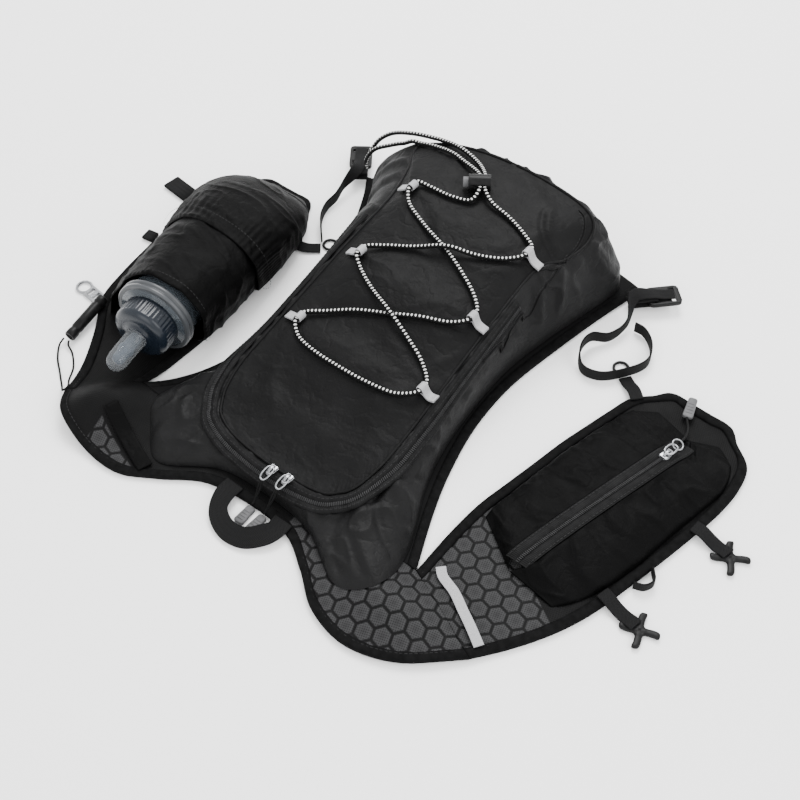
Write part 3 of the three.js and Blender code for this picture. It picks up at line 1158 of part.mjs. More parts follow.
const PANEL_SECTION = [
  { out: 0, up: 0 }, { out: 0.08, up: 0.55 }, { out: 0.45, up: 0.92 }, { out: 1, up: 1 },
];

const zipMiddle = (row) => onRight(row.zip, row.zipAlong, row.top * PHONE_HEIGHT);

function phonePanel(name, sign) {
  const lastRow = PHONE_ROWS.length - 1;
  const front = PHONE_ROWS.map((row, i) => {
    const foot = onRight(row[name], row[`${name}Along`]);
    const lip = zipMiddle(row).add(at(sign * (i === 0 || i === lastRow ? GAP : LIP), 0));
    return PANEL_SECTION.map(({ out, up }) => foot.clone().lerp(lip, out).setZ(mix(SHELL_BASE, lip.z, up)));
  });
  const back = front.map((line) => line.map((point, j) => {
    if (j === 0) return point.clone().add(at(-sign * CLOTH, 0));
    return at(point.x, point.y, Math.max(point.z - CLOTH, SHELL_BASE + 0.1));
  }));
  return sheet(front, back);
}

put('phone_pocket_inner', phonePanel('inner', -1), NYLON);
put('phone_pocket_outer', phonePanel('outer', 1), NYLON);

function phoneZip() {
  const rows = PHONE_ROWS.slice(1, -1);
  const ends = [rows[0], rows[rows.length - 1]];
  const lane = (offset, sign) => rows.map((row) => {
    const end = offset === MOUTH / 2 ? ends.indexOf(row) : -1;
    const inward = end === 0 ? PHONE_TAPE : end === 1 ? -PHONE_TAPE : 0;
    return zipMiddle(row).add(at(sign * offset, inward));
  });
  const around = (offset, drop) => [...lane(offset, 1), ...lane(offset, -1).reverse()]
    .map((point) => point.setZ(point.z - drop));
  const face = (drop) => [around(LIP - GAP, drop), around(MOUTH / 2, drop)];
  return sheet(face(0), face(ZIP_TAPE_THICKNESS), true);
}

put('phone_pocket_zip', phoneZip(), NYLON_DARK);
const phoneSlider = plate(rounded(10, 7.5, 2, 2), [], SLIDER_HEIGHT);
const PHONE_SLIDER = onRight(0.801, 0.754, 0.93 * PHONE_HEIGHT + GAP);
put('phone_slider', placed(phoneSlider, PHONE_SLIDER, { turn: 1.4 }), METAL);

const PHONE_PULL = onRight(0.702, 0.979, BINDING_HEIGHT + GAP);
const phonePull = plate(rounded(PULL_LENGTH + 3, PULL_WIDTH, 2.5, 2), [], PULL_THICKNESS);
const phoneCord = tube(throughPoints([
  ...[[1, 5.6, 1.3], [2, 14, 0.1], [1.6, 23, -2.3], [-1.4, 33, -5.3]]
    .map((step) => PHONE_SLIDER.clone().add(at(...step))),
  ...[[3, -10], [1.5, -5]].map((step) => PHONE_PULL.clone().add(at(...step, PULL_THICKNESS / 2))),
]), PULL_CORD, 10);
put('phone_pull', join(placed(phonePull, PHONE_PULL, { turn: 1.85 }), phoneCord), GREY_PLASTIC);

// Chest straps at the right strap's outer edge, each with a cross-shaped hook, and a keeper for the slack
const HOOK_REACH = 14;
const HOOK_ARM = 5;
const HOOK_THICKNESS = 3.4;

function crossHook() {
  const outline = [];
  for (let k = 0; k < 4; k++) {
    const angle = (k * Math.PI) / 2;
    const turned = (x, y) => outline.push(at(x, y).applyAxisAngle(at(0, 0, 1), angle).toArray());
    turned(HOOK_REACH, -HOOK_ARM / 2);
    turned(HOOK_REACH, HOOK_ARM / 2);
    turned(HOOK_ARM / 2 + 1.2, HOOK_ARM / 2 + 1.2);
  }
  return plate(outline, [], HOOK_THICKNESS);
}

const CHEST_STRAPS = [
  {
    name: 'upper', turn: 0.55, hook: [1.511, 0.588],
    run: [[1.211, 0.609], [1.283, 0.606], [1.35, 0.603], [1.416, 0.598]],
  },
  {
    name: 'lower', turn: 0.35, hook: [1.329, 0.23],
    run: [[1.012, 0.26], [1.064, 0.254], [1.13, 0.248], [1.197, 0.242]],
  },
];
const CHEST_RISES = [0.44, 0.44, 0.26, 0.193];
for (const { name, turn, hook, run } of CHEST_STRAPS) {
  const path = run.map(([across, along], i) => ({ across, along, rise: CHEST_RISES[i], lean: 0 }));
  put(`chest_strap_${name}`, webbing(path, onRight, NARROW_WEBBING, 6), WEBBING);
  put(`chest_hook_${name}`, placed(crossHook(), onRight(...hook, GAP), { turn }), PLASTIC);
}
put('keeper_loop', webbing([
  { across: 1.132, along: 0.337, rise: 0.307, lean: 1 },
  { across: 1.197, along: 0.349, rise: 0.307, lean: 1 },
  { across: 1.226, along: 0.379, rise: 0.307, lean: 1 },
  { across: 1.17, along: 0.413, rise: 0.307, lean: 1 },
], onRight, TAB_WIDTH + 1, 7), WEBBING);

// Folded webbing tabs at the left strap's outer edge
const FOLD = 2 * WEBBING_THICKNESS;
const EDGE_LIFT = 2 * GAP + 0.1;
const edgeLoop = (length, width) => box(length, width, FOLD, 0, 0, GAP + FOLD / 2);
const longLoop = edgeLoop(28, WEBBING_WIDTH);
const shortLoop = edgeLoop(11, NARROW_WEBBING);
put('edge_loop_long', placed(longLoop, onLeft(1.249, 0.749, EDGE_LIFT), { turn: -0.12 }), WEBBING);
put('edge_loop_short', placed(shortLoop, onLeft(1.064, 0.511, EDGE_LIFT), { turn: 0.15 }), WEBBING);

// The sternum slider with its ring, the whistle and the whistle's cord at the left strap's upper end
const FRAME_SLOT = 3.4;
const sliderFrame = cut(
  box(14, 11, RING_WIRE, 0, 0, RING_WIRE / 2),
  box(FRAME_SLOT, 7.4, 2 * RING_WIRE, -3.2, 0, RING_WIRE / 2),
  box(FRAME_SLOT, 7.4, 2 * RING_WIRE, 3.2, 0, RING_WIRE / 2),
);
const sliderRing = placed(ring(12, RING_WIRE), at(-12, 0, RING_WIRE / 2));
const SHOULDER_SLIDER = onLeft(0.961, 0.196, GAP + 0.2);
put('shoulder_slider', placed(join(sliderFrame, sliderRing), SHOULDER_SLIDER, { turn: -0.1 }), METAL);

const WHISTLE_DIAMETER = 9;
const WHISTLE_LENGTH = 42;
const WHISTLE_TILT = 0.11;
const whistle = rod(WHISTLE_DIAMETER, WHISTLE_LENGTH, 0, 12);
const WHISTLE_END = onLeft(0.809, 0.183, BINDING_HEIGHT + 3 * GAP + WHISTLE_DIAMETER / 2);
put('whistle', placed(whistle, WHISTLE_END, { turn: 0.12 - Math.PI / 2, tilt: WHISTLE_TILT }), PLASTIC);

const WHISTLE_CORD = 1.5;
const cordRest = (x, y) => at(x, y, highestNear(harness, x, y, 2) + 0.8 * WHISTLE_CORD);
const WHISTLE_ROUTE = [
  at(-203.5, -142.6, 5.4), at(-203, -148, 3.2), cordRest(-196, -157), cordRest(-184, -166),
  cordRest(-172, -175), cordRest(-164, -180), cordRest(-160, -182), cordRest(-160, -178),
  cordRest(-168, -170), cordRest(-180, -156), cordRest(-191, -147), at(-197, -144.6, 3.6),
  at(-198.6, -142.2, 5.4),
];
put('whistle_cord', tube(throughPoints(WHISTLE_ROUTE), WHISTLE_CORD, 24), CORD);

export default pack;
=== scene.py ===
import json
import math

import bmesh
import bpy
import numpy as np
from mathutils import Matrix, Vector, noise
from mathutils.bvhtree import BVHTree

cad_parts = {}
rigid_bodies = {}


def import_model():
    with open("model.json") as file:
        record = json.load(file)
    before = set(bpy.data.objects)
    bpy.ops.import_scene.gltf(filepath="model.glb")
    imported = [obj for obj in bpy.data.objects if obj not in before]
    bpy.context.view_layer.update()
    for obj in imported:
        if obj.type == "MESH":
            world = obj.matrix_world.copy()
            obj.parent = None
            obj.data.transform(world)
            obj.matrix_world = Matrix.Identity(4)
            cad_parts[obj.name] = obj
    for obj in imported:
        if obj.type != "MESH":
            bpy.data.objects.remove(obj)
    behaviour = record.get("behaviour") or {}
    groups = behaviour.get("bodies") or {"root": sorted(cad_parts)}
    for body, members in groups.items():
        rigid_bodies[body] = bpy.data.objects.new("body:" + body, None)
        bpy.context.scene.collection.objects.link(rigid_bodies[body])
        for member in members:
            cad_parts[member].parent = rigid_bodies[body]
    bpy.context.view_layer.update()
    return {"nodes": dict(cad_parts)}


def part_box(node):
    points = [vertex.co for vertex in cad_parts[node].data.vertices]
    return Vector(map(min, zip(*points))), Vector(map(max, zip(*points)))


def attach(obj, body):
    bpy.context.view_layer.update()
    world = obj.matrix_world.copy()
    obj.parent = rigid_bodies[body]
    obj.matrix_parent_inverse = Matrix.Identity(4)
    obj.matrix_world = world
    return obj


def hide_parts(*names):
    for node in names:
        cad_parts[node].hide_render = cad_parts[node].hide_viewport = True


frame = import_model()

MM = 0.001

# Driving sizes, as in the part
BAG_HALF_WIDTH = 90 * MM
BAG_HALF_LENGTH = 170 * MM
BAG_DEPTH = 76 * MM
BACK_PAD = 4 * MM
STRAP_PAD = 3 * MM
STRAP_WIDTH = 105 * MM
STRAP_LENGTH = 235 * MM
GAP = 0.3 * MM
BINDING_WIDTH = 8 * MM
BINDING_HEIGHT = 5.2 * MM
PIPING_DIAMETER = 2.6 * MM
BUNGEE_DIAMETER = 3.5 * MM
TAB_WIDTH = 7 * MM
TAB_TAIL = 9 * MM
TAB_WALL = 1.1 * MM
WEBBING_WIDTH = 15 * MM
WEBBING_THICKNESS = 1.4 * MM
NARROW_WEBBING = 10 * MM
FLASK_RADIUS = 28 * MM
FLASK_LENGTH = 128 * MM
COLLAR_RADIUS = 31 * MM
CAP_RADIUS = 22.5 * MM
CAP_HEIGHT = 19 * MM
NOZZLE_RADIUS = 8.6 * MM
PACK = "pack"


# Tables and curves

def table(names, *rows):
    """A table with named columns."""
    return {name: np.array(values, float) for name, values in zip(names.split(), zip(*rows))}


def mix(a, b, t):
    return a + (b - a) * t


def column(rows, name, u, closed=False):
    """A column of a table read at shares u of its rows, as a smooth curve of one value."""
    values = rows[name]
    last = len(values) if closed else len(values) - 1
    place = np.clip(u, 0, 1) * last
    first = np.minimum(np.floor(place), last - 1).astype(int)
    t = place - first

    def value(i):
        return values[i % last] if closed else values[np.clip(i, 0, last)]

    a, b, c, d = (value(first + k) for k in (-1, 0, 1, 2))
    return b + 0.5 * t * (c - a + t * (2 * a - 5 * b + 4 * c - d + t * (3 * (b - c) + d - a)))


def look_up(rows, key, name, place):
    """A column where another, rising column reaches a place."""
    keys, values = rows[key], rows[name]
    after = np.clip(np.searchsorted(keys, place), 1, len(keys) - 1)
    t = np.clip((place - keys[after - 1]) / (keys[after] - keys[after - 1]), 0, 1)
    return mix(values[after - 1], values[after], t * t * (3 - 2 * t))


def stack(x, y, z):
    """Points from their coordinates, whatever their shapes."""
    return np.stack(np.broadcast_arrays(x, y, z), axis=-1).astype(float)


def smooth(points, steps):
    """A centripetal curve through points, with so many steps from one point to the next."""
    p = np.array(points, float)
    p = np.vstack([2 * p[0] - p[1], p, 2 * p[-1] - p[-2]])
    out = []
    for a, b, c, d in zip(p, p[1:], p[2:], p[3:]):
        before, here, after = (max(np.linalg.norm(q - r), 1e-9) ** 0.5 for q, r in ((b, a), (c, b), (d, c)))
        start = ((b - a) / before - (c - a) / (before + here) + (c - b) / here) * here
        end = ((c - b) / here - (d - b) / (here + after) + (d - c) / after) * here
        for t in np.arange(steps) / steps:
            cubic = (2 * b - 2 * c + start + end) * t + 3 * (c - b) - 2 * start - end
            out.append(b + t * (start + t * cubic))
    return np.array(out + [p[-2]])


def unit(vectors):
    length = np.linalg.norm(vectors, axis=-1, keepdims=True)
    return vectors / np.maximum(length, 1e-12)


def along_points(points):
    """Directions of run at each of a line's points."""
    return unit(np.gradient(np.asarray(points, float), axis=0))


def reach_along(line):
    """Lengths along a line, up to each of its points."""
    return np.concatenate([[0], np.cumsum(np.linalg.norm(np.diff(line, axis=0), axis=1))])


def heading(turn):
    """A level direction, turned from +X."""
    return np.array([math.cos(turn), math.sin(turn), 0])


def beside(run):
    """The level direction to the left of another."""
    return np.array([-run[1], run[0], 0])


def upright(points):
    """An upward direction for each of some points."""
    return np.tile([0, 0, 1.0], (len(points), 1))


def inside(t, share):
    """1 in the middle of 0 to 1, falling to 0 over a share of it at both ends."""
    return np.clip(t / share, 0, 1) * np.clip((1 - t) / share, 0, 1)


def in_mm(*rows, base=0.0):
    """(radius, height) points from millimetres, above a base."""
    return [(r * MM, base + h * MM) for r, h in rows]


def wobble(points, size, seed=0.0):
    """Smooth noise from -1 to 1 at points, with lumps of about that size."""
    flat = np.asarray(points, float).reshape(-1, 3) / size + seed
    values = [noise.noise(Vector(p)) for p in flat]
    return np.array(values).reshape(np.shape(points)[:-1])


# Meshes

def finish_piece(obj, finish, nodes=(), body=PACK):
    """The piece's material, its body and the CAD nodes that it stands for."""
    obj.data.materials.clear()
    obj.data.materials.append(finish)
    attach(obj, body)
    if nodes:
        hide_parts(*nodes)
    return obj


def linked(name, data):
    """An object for a mesh, in the scene."""
    obj = bpy.data.objects.new(name, data)
    bpy.context.scene.collection.objects.link(obj)
    return obj


def from_bmesh(name, mesh, sharp=None):
    """An object from an edited mesh, smooth but for edges of more than sharp degrees."""
    data = bpy.data.meshes.new(name)
    mesh.to_mesh(data)
    mesh.free()
    if sharp:
        data.polygons.foreach_set("use_smooth", [True] * len(data.polygons))
        data.set_sharp_from_angle(angle=math.radians(sharp))
    return linked(name, data)


def build(name, vertices, faces, uvs=None):
    mesh = bpy.data.meshes.new(name)
    mesh.from_pydata([tuple(v) for v in vertices], [], faces)
    if uvs is not None:
        layer = mesh.uv_layers.new(name="UVMap")
        layer.data.foreach_set("uv", np.asarray(uvs, np.float32).ravel())
    mesh.polygons.foreach_set("use_smooth", [True] * len(mesh.polygons))
    return linked(name, mesh)


def grid_uvs(grid, around):
    """Lengths across and along a grid, in metres, with the closing column repeated where it goes around."""
    closed = np.concatenate([grid, grid[:, :1]], axis=1) if around else grid
    across = np.linalg.norm(np.diff(closed, axis=1), axis=2).mean(axis=0)
    along = np.linalg.norm(np.diff(closed, axis=0), axis=2).mean(axis=1)
    u = np.concatenate([[0], np.cumsum(across)])
    v = np.concatenate([[0], np.cumsum(along)])
    return np.stack(np.meshgrid(u, v), axis=-1)


def surface(name, grid, around=False, ends=False, uv=None):
    """A mesh over a grid of points. around joins its last column to the first, and ends closes both ends."""
    grid = np.asarray(grid, float)
    rows, columns = grid.shape[:2]
    uv = grid_uvs(grid, around) if uv is None else uv
    i, j = np.meshgrid(np.arange(rows - 1), np.arange(columns if around else columns - 1), indexing="ij")
    i, j = i.ravel(), j.ravel()
    after = (j + 1) % columns
    here, below = i * columns, (i + 1) * columns
    quads = np.stack([here + j, here + after, below + after, below + j], 1)
    corners = np.stack([uv[i, j], uv[i, j + 1], uv[i + 1, j + 1], uv[i + 1, j]], 1).reshape(-1, 2)
    faces = quads.tolist()
    if ends:
        first = list(range(columns))
        last = list(range((rows - 1) * columns, rows * columns))
        faces += [first[::-1], last]
        corners = np.concatenate([corners, uv[0, :columns][::-1], uv[-1, :columns]])
    obj = build(name, grid.reshape(-1, 3), faces, corners)
    return outward(obj, ends)


def outward(obj, closed):
    """Faces turned out of a closed mesh, or up on an open one."""
    mesh = bmesh.new()
    mesh.from_mesh(obj.data)
    if closed:
        bmesh.ops.recalc_face_normals(mesh, faces=mesh.faces)
    elif sum(f.normal.z * f.calc_area() for f in mesh.faces) < 0:
        bmesh.ops.reverse_faces(mesh, faces=mesh.faces)
    mesh.to_mesh(obj.data)
    mesh.free()
    return obj


def slab(name, top, bottom, uv=None):
    """A closed sheet between two equal grids."""
    return surface(name, np.concatenate([top, bottom[:, ::-1]], axis=1), around=True, ends=True, uv=uv)


def section(width, height, count=14, square=3.0):
    """A rounded oblong ring of points about a centre."""
    angles = (np.arange(count) + 0.5) * 2 * math.pi / count
    c, s = np.cos(angles), np.sin(angles)
    power = 2 / square
    across = np.sign(c) * np.abs(c) ** power * width / 2
    rise = np.sign(s) * np.abs(s) ** power * height / 2
    return np.stack([across, rise], 1)


def sweep(name, points, across, rise, ring, ends=True):
    """A ring of (across, rise) points carried along a line."""
    points, across, rise = (np.asarray(a, float) for a in (points, across, rise))
    grid = points[:, None] + across[:, None] * ring[None, :, :1] + rise[:, None] * ring[None, :, 1:]
    return surface(name, grid, around=True, ends=ends)


def frames(points, closed=False):
    """Two directions square to a line that turn as little as they can along it."""
    run = along_points(points)
    if closed:
        run = unit(np.roll(points, -1, axis=0) - np.roll(points, 1, axis=0))
    guess = np.array([0, 0, 1.0]) if abs(run[0][2]) < 0.9 else np.array([1.0, 0, 0])
    side = unit(np.cross(run[0], guess))
    sides = []
    for direction in run:
        side = unit(side - direction * side.dot(direction))
        sides.append(side)
    sides = np.array(sides)
    return sides, np.cross(sides, run)


def tube(name, points, diameter, sides=12):
    across, rise = frames(points)
    return sweep(name, points, across, rise, section(diameter, diameter, sides, 2.0))


def ring_piece(name, middle, diameter, wire, tilt=0.0, stretch=1.0, turn=0.0, count=40):
    """A closed ring of round wire, lying level unless it is tilted."""
    angles = np.arange(count) * 2 * math.pi / count
    flat = stack(np.cos(angles) * diameter / 2 * stretch, np.sin(angles) * diameter / 2, 0 * angles)
    matrix = Matrix.Rotation(turn, 3, "Z") @ Matrix.Rotation(tilt, 3, "Y")
    points = flat @ np.array(matrix).T + np.array(middle)
    across, rise = frames(points, closed=True)
    circle = section(wire, wire, 10, 2.0)
    grid = points[:, None] + across[:, None] * circle[None, :, :1] + rise[:, None] * circle[None, :, 1:]
    grid = np.concatenate([grid, grid[:1]])
    obj = surface(name, grid, around=True)
    weld(obj, 0.02 * MM)
    return outward(obj, True)


def weld(obj, distance):
    mesh = bmesh.new()
    mesh.from_mesh(obj.data)
    bmesh.ops.remove_doubles(mesh, verts=mesh.verts, dist=distance)
    mesh.to_mesh(obj.data)
    mesh.free()


def joined(name, *objs):
    """Several meshes as one piece."""
    mesh = bmesh.new()
    for obj in objs:
        mesh.from_mesh(obj.data)
    for obj in objs:
        bpy.data.objects.remove(obj)
    return from_bmesh(name, mesh)


def softened(name, node, bevel, segments=2, sharp=28):
    """A CAD node's shape in a new piece, with its edges rounded."""
    mesh = bmesh.new()
    mesh.from_mesh(frame["nodes"][node].data)
    bmesh.ops.remove_doubles(mesh, verts=mesh.verts, dist=0.02 * MM)
    bmesh.ops.dissolve_limit(mesh, angle_limit=math.radians(2), verts=mesh.verts, edges=mesh.edges)
    edges = [e for e in mesh.edges if len(e.link_faces) == 2 and e.calc_face_angle(0) > math.radians(sharp)]
    bmesh.ops.bevel(mesh, geom=edges, offset=bevel, segments=segments, profile=0.6, affect="EDGES",
                    clamp_overlap=True)
    bmesh.ops.triangulate(mesh, faces=[f for f in mesh.faces if len(f.verts) > 4])
    return from_bmesh(name, mesh, 40)


def lathe(name, profile, sides, matrix, ribs=0, rib_depth=0.0, rib_rows=()):
    """A turned shape from (radius, height) points, with grip ribs on some of its rows."""
    angles = np.arange(sides) * 2 * math.pi / sides
    rings = []
    for k, (radius, height) in enumerate(profile):
        rib = rib_depth * np.abs(np.cos(ribs * angles / 2)) ** 0.7 if k in rib_rows else 0
        r = radius - rib + 0 * angles
        rings.append(stack(r * np.cos(angles), r * np.sin(angles), height))
    grid = np.array(rings) @ np.array(matrix.to_3x3()).T + np.array(matrix.translation)
    return surface(name, grid, around=True, ends=True)


def grid_normals(grid, around=False):
    """Directions square to a grid at its points."""
    wide = np.concatenate([grid[:, -1:], grid, grid[:, :1]], axis=1) if around else grid
    across = np.gradient(wide, axis=1)
    across = across[:, 1:-1] if around else across
    return unit(np.cross(np.gradient(grid, axis=0), across))


# Finishes

class Finish:
    """One node material, made by short calls."""

    def __init__(self, name, roughness, metallic=0.0, sheen=0.0, coat=0.0, specular=0.5):
        self.material = bpy.data.materials.new(name)
        self.material.use_nodes = True
        self.tree = self.material.node_tree
        self.shader = self.tree.nodes["Principled BSDF"]
        self.set("Roughness", roughness)
        self.set("Metallic", metallic)
        self.set("Sheen Weight", sheen)
        self.set("Coat Weight", coat)
        self.set("Specular IOR Level", specular)

    def set(self, socket, value):
        if isinstance(value, bpy.types.NodeSocket):
            self.tree.links.new(value, self.shader.inputs[socket])
        else:
            self.shader.inputs[socket].default_value = value

    def node(self, kind, **settings):
        made = self.tree.nodes.new("ShaderNode" + kind)
        for key, value in settings.items():
            setattr(made, key, value)
        return made

    def feed(self, socket, value):
        if isinstance(value, bpy.types.NodeSocket):
            self.tree.links.new(value, socket)
        else:
            socket.default_value = value

    def math(self, operation, *values):
        made = self.node("Math", operation=operation)
        for socket, value in zip(made.inputs, values):
            self.feed(socket, value)
        return made.outputs[0]

    def place(self, kind="UV"):
        """The coordinate, and its parts: UV in metres from the piece's own layer, or Object for its place."""
        vector = self.node("TexCoord").outputs[kind]
        parts = self.node("SeparateXYZ")
        self.feed(parts.inputs[0], vector)
        return vector, parts.outputs[0], parts.outputs[1], parts.outputs[2]

    def noise(self, vector, size, detail=2.0, rough=0.5):
        made = self.node("TexNoise")
        self.feed(made.inputs["Vector"], vector)
        made.inputs["Scale"].default_value = 1 / size
        made.inputs["Detail"].default_value = detail
        made.inputs["Roughness"].default_value = rough
        return made.outputs["Fac"]

    def wave(self, coordinate, pitch):
        """A sine from 0 to 1 along a coordinate."""
        turn = self.math("MULTIPLY", coordinate, 2 * math.pi / pitch)
        return self.math("MULTIPLY_ADD", self.math("SINE", turn), 0.5, 0.5)

    def ramp(self, factor, *stops):
        made = self.node("ValToRGB")
        self.feed(made.inputs[0], factor)
        elements = made.color_ramp.elements
        while len(elements) < len(stops):
            elements.new(0.5)
        for element, (position, colour) in zip(elements, stops):
            element.position = position
            element.color = (*colour, 1)
        return made.outputs[0]

    def blend(self, factor, a, b):
        made = self.node("Mix", data_type="RGBA")
        self.feed(made.inputs[0], factor)
        for socket, value in ((made.inputs[6], a), (made.inputs[7], b)):
            self.feed(socket, value if isinstance(value, bpy.types.NodeSocket) else (*value, 1))
        return made.outputs[2]

    def bump(self, height, distance, strength=1.0, after=None):
        made = self.node("Bump")
        made.inputs["Strength"].default_value = strength
        made.inputs["Distance"].default_value = distance
        self.feed(made.inputs["Height"], height)
        if after is not None:
            self.feed(made.inputs["Normal"], after)
        return made.outputs[0]


def grey(value, tint=(1.0, 1.0, 1.03)):
    return tuple(value * t for t in tint)


def weave_height(finish, u, v, pitch):
    """A plain weave's height, from 0 to 1."""
    return finish.math("MULTIPLY", finish.wave(u, pitch), finish.wave(v, pitch))


def braid_height(f, u, v, pitch):
    """A plait's height, from 0 to 1."""
    return f.math("MULTIPLY", f.wave(f.math("ADD", u, v), pitch), f.wave(f.math("SUBTRACT", u, v), pitch))


def nylon_finish(name, shade, weave=0.55 * MM, roughness=0.5, specular=0.08):
    """Coated plain-weave nylon with fine creases and a soft gloss."""
    f = Finish(name, roughness, specular=specular)
    _, u, v, _ = f.place()
    spot = f.place("Object")[0]
    broad = f.noise(spot, 30 * MM, 3)
    f.set("Base Color", f.ramp(broad, (0.25, grey(shade * 0.8)), (0.75, grey(shade * 1.25))))
    f.set("Roughness", f.math("MULTIPLY_ADD", f.noise(spot, 8 * MM, 3), 0.22, roughness - 0.11))
    ridge = f.math("ABSOLUTE", f.math("SUBTRACT", f.noise(spot, 19 * MM, 3), 0.5))
    crinkles = f.bump(f.math("MINIMUM", f.math("MULTIPLY", ridge, 14.0), 1.0), 0.5 * MM, 0.45)
    creases = f.bump(f.noise(spot, 7 * MM, 4, 0.6), 0.9 * MM, 0.5, after=crinkles)
    f.set("Normal", f.bump(weave_height(f, u, v, weave), 0.07 * MM, 0.6, after=creases))
    return f.material


def binding_finish(name):
    """Folded ribbed tape, a little puckered."""
    f = Finish(name, 0.8, specular=0.05)
    ribs = f.wave(f.place()[2], 0.9 * MM)
    spot = f.place("Object")[0]
    f.set("Base Color", f.ramp(f.noise(spot, 5 * MM, 2), (0.3, grey(0.0018)), (0.75, grey(0.0045))))
    puckers = f.noise(spot, 4 * MM, 2)
    f.set("Normal", f.bump(ribs, 0.12 * MM, 0.5, after=f.bump(puckers, 0.7 * MM, 0.45)))
    return f.material


def webbing_finish(name, shade=0.007):
    """Flat webbing in a herringbone of fine ribs, with painted shade in the ribs' valleys and painted light
    on their ridges.
    """
    f = Finish(name, 0.68, specular=0.06)
    _, u, v, _ = f.place()
    zigzag = f.math("PINGPONG", u, 1.9 * MM)
    slant = f.wave(f.math("ADD", v, zigzag), 1.25 * MM)
    # Painted shade and light: the colour follows the ribs' height, darker in their valleys and lighter on
    # their ridges.
    f.set("Base Color", f.ramp(slant, (0.1, grey(shade * 0.45)), (0.9, grey(shade * 1.5))))
    f.set("Normal", f.bump(slant, 0.3 * MM, 0.7))
    return f.material


def hex_edge(f, x, y, pitch):
    """How far a place is from the border of its honeycomb cell: 0 at the border, 0.5 at the middle."""
    root = math.sqrt(3)
    a, b = f.math("MULTIPLY", x, 1 / pitch), f.math("MULTIPLY", y, 1 / pitch)
    first = [f.math("SUBTRACT", f.math("FLOORED_MODULO", a, 1.0), 0.5),
             f.math("SUBTRACT", f.math("FLOORED_MODULO", b, root), root / 2)]
    second = [f.math("SUBTRACT", f.math("FLOORED_MODULO", f.math("SUBTRACT", a, 0.5), 1.0), 0.5),
              f.math("SUBTRACT", f.math("FLOORED_MODULO", f.math("SUBTRACT", b, root / 2), root), root / 2)]

    def reach(pair):
        px, py = (f.math("ABSOLUTE", p) for p in pair)
        slant = f.math("MULTIPLY_ADD", py, root / 2, f.math("MULTIPLY", px, 0.5))
        return f.math("MAXIMUM", px, slant)

    return f.math("SUBTRACT", 0.5, f.math("MINIMUM", reach(first), reach(second)))


HEX_PITCH = 12.6 * MM
HEX_TURN = 0.30


def hex_mask(f, x, y):
    """The places of hex_share, for a material."""
    def side(factor_x, factor_y, constant):
        amount = f.math("MULTIPLY_ADD", y, factor_y / MM, constant)
        amount = f.math("MULTIPLY_ADD", x, factor_x / MM, amount)
        return f.math("MINIMUM", f.math("MAXIMUM", amount, 0.0), 1.0)

    right = f.math("MULTIPLY", side(1, 0, -40), side(-1, 0.10, 261))
    right = f.math("MULTIPLY", right, side(-0.62, -1, 0.62 * 190 - 97))
    left = f.math("MULTIPLY", side(1, 0, 119), side(-1, 0, -70))
    left = f.math("MULTIPLY", left, side(-0.33, -0.94, -210))
    return f.math("MAXIMUM", right, left)


def mesh_finish(name):
    """Padding under a fine open mesh, with honeycomb cells embossed in it; the colour paints the embossing's
    shade and light, darkest in the grooves at the cells' borders and lightest at their rims.
    """
    f = Finish(name, 0.66, specular=0.07)
    spot, x, y, _ = f.place("Object")
    turned = [f.math("MULTIPLY_ADD", x, math.cos(HEX_TURN), f.math("MULTIPLY", y, math.sin(HEX_TURN))),
              f.math("MULTIPLY_ADD", y, math.cos(HEX_TURN), f.math("MULTIPLY", x, -math.sin(HEX_TURN)))]
    edge = hex_edge(f, *turned, HEX_PITCH)
    holes = f.math("MULTIPLY", f.wave(turned[0], 1.5 * MM), f.wave(turned[1], 1.5 * MM))
    # Painted shade and light: the cells go dark in the grooves along their borders and are lightest at their
    # rims.
    cells = f.ramp(edge, (0.05, grey(0.003)), (0.12, grey(0.03)), (0.5, grey(0.02)))
    holed = f.blend(f.math("MULTIPLY", holes, 0.75), cells, grey(0.004))
    f.set("Base Color", f.blend(hex_mask(f, x, y), grey(0.0022), holed))
    worn = f.noise(spot, 12 * MM, 3)
    f.set("Roughness", f.math("MULTIPLY_ADD", worn, 0.3, 0.45))
    creases = f.bump(f.noise(spot, 7 * MM, 4, 0.6), 0.9 * MM, 0.3)
    f.set("Normal", f.bump(holes, 0.2 * MM, 0.7, after=creases))
    return f.material


def air_mesh_finish(name):
    """Plain cloth on top, and spacer mesh with small staggered holes underneath."""
    f = Finish(name, 0.85, specular=0.05)
    spot, x, y, z = f.place("Object")
    rows = [f.math("ADD", x, y), f.math("SUBTRACT", x, y)]
    under = f.math("LESS_THAN", z, 1.5 * MM)
    holes = f.math("MULTIPLY", f.math("MULTIPLY", *(f.wave(row, 3.2 * MM) for row in rows)), under)
    mesh = f.ramp(holes, (0.25, grey(0.012)), (0.7, grey(0.004)))
    f.set("Base Color", f.blend(under, grey(0.0045), mesh))
    creases = f.bump(f.noise(spot, 7 * MM, 4, 0.6), 0.9 * MM, 0.4)
    f.set("Normal", f.bump(f.math("SUBTRACT", 1.0, holes), 0.8 * MM, 0.8, after=creases))
    return f.material


def plastic_finish(name, colour, roughness=0.36):
    """Moulded plastic with a fine texture and faint wear."""
    f = Finish(name, roughness, specular=0.1)
    spot = f.place("Object")[0]
    fine = f.noise(spot, 0.35 * MM, 2)
    worn = f.noise(spot, 4 * MM, 4)
    lighter = tuple(min(1, c * 1.5 + 0.003) for c in colour)
    f.set("Base Color", f.ramp(worn, (0.35, colour), (0.8, lighter)))
    f.set("Roughness", f.math("MULTIPLY_ADD", worn, 0.25, roughness - 0.1))
    f.set("Normal", f.bump(fine, 0.05 * MM, 0.5))
    return f.material


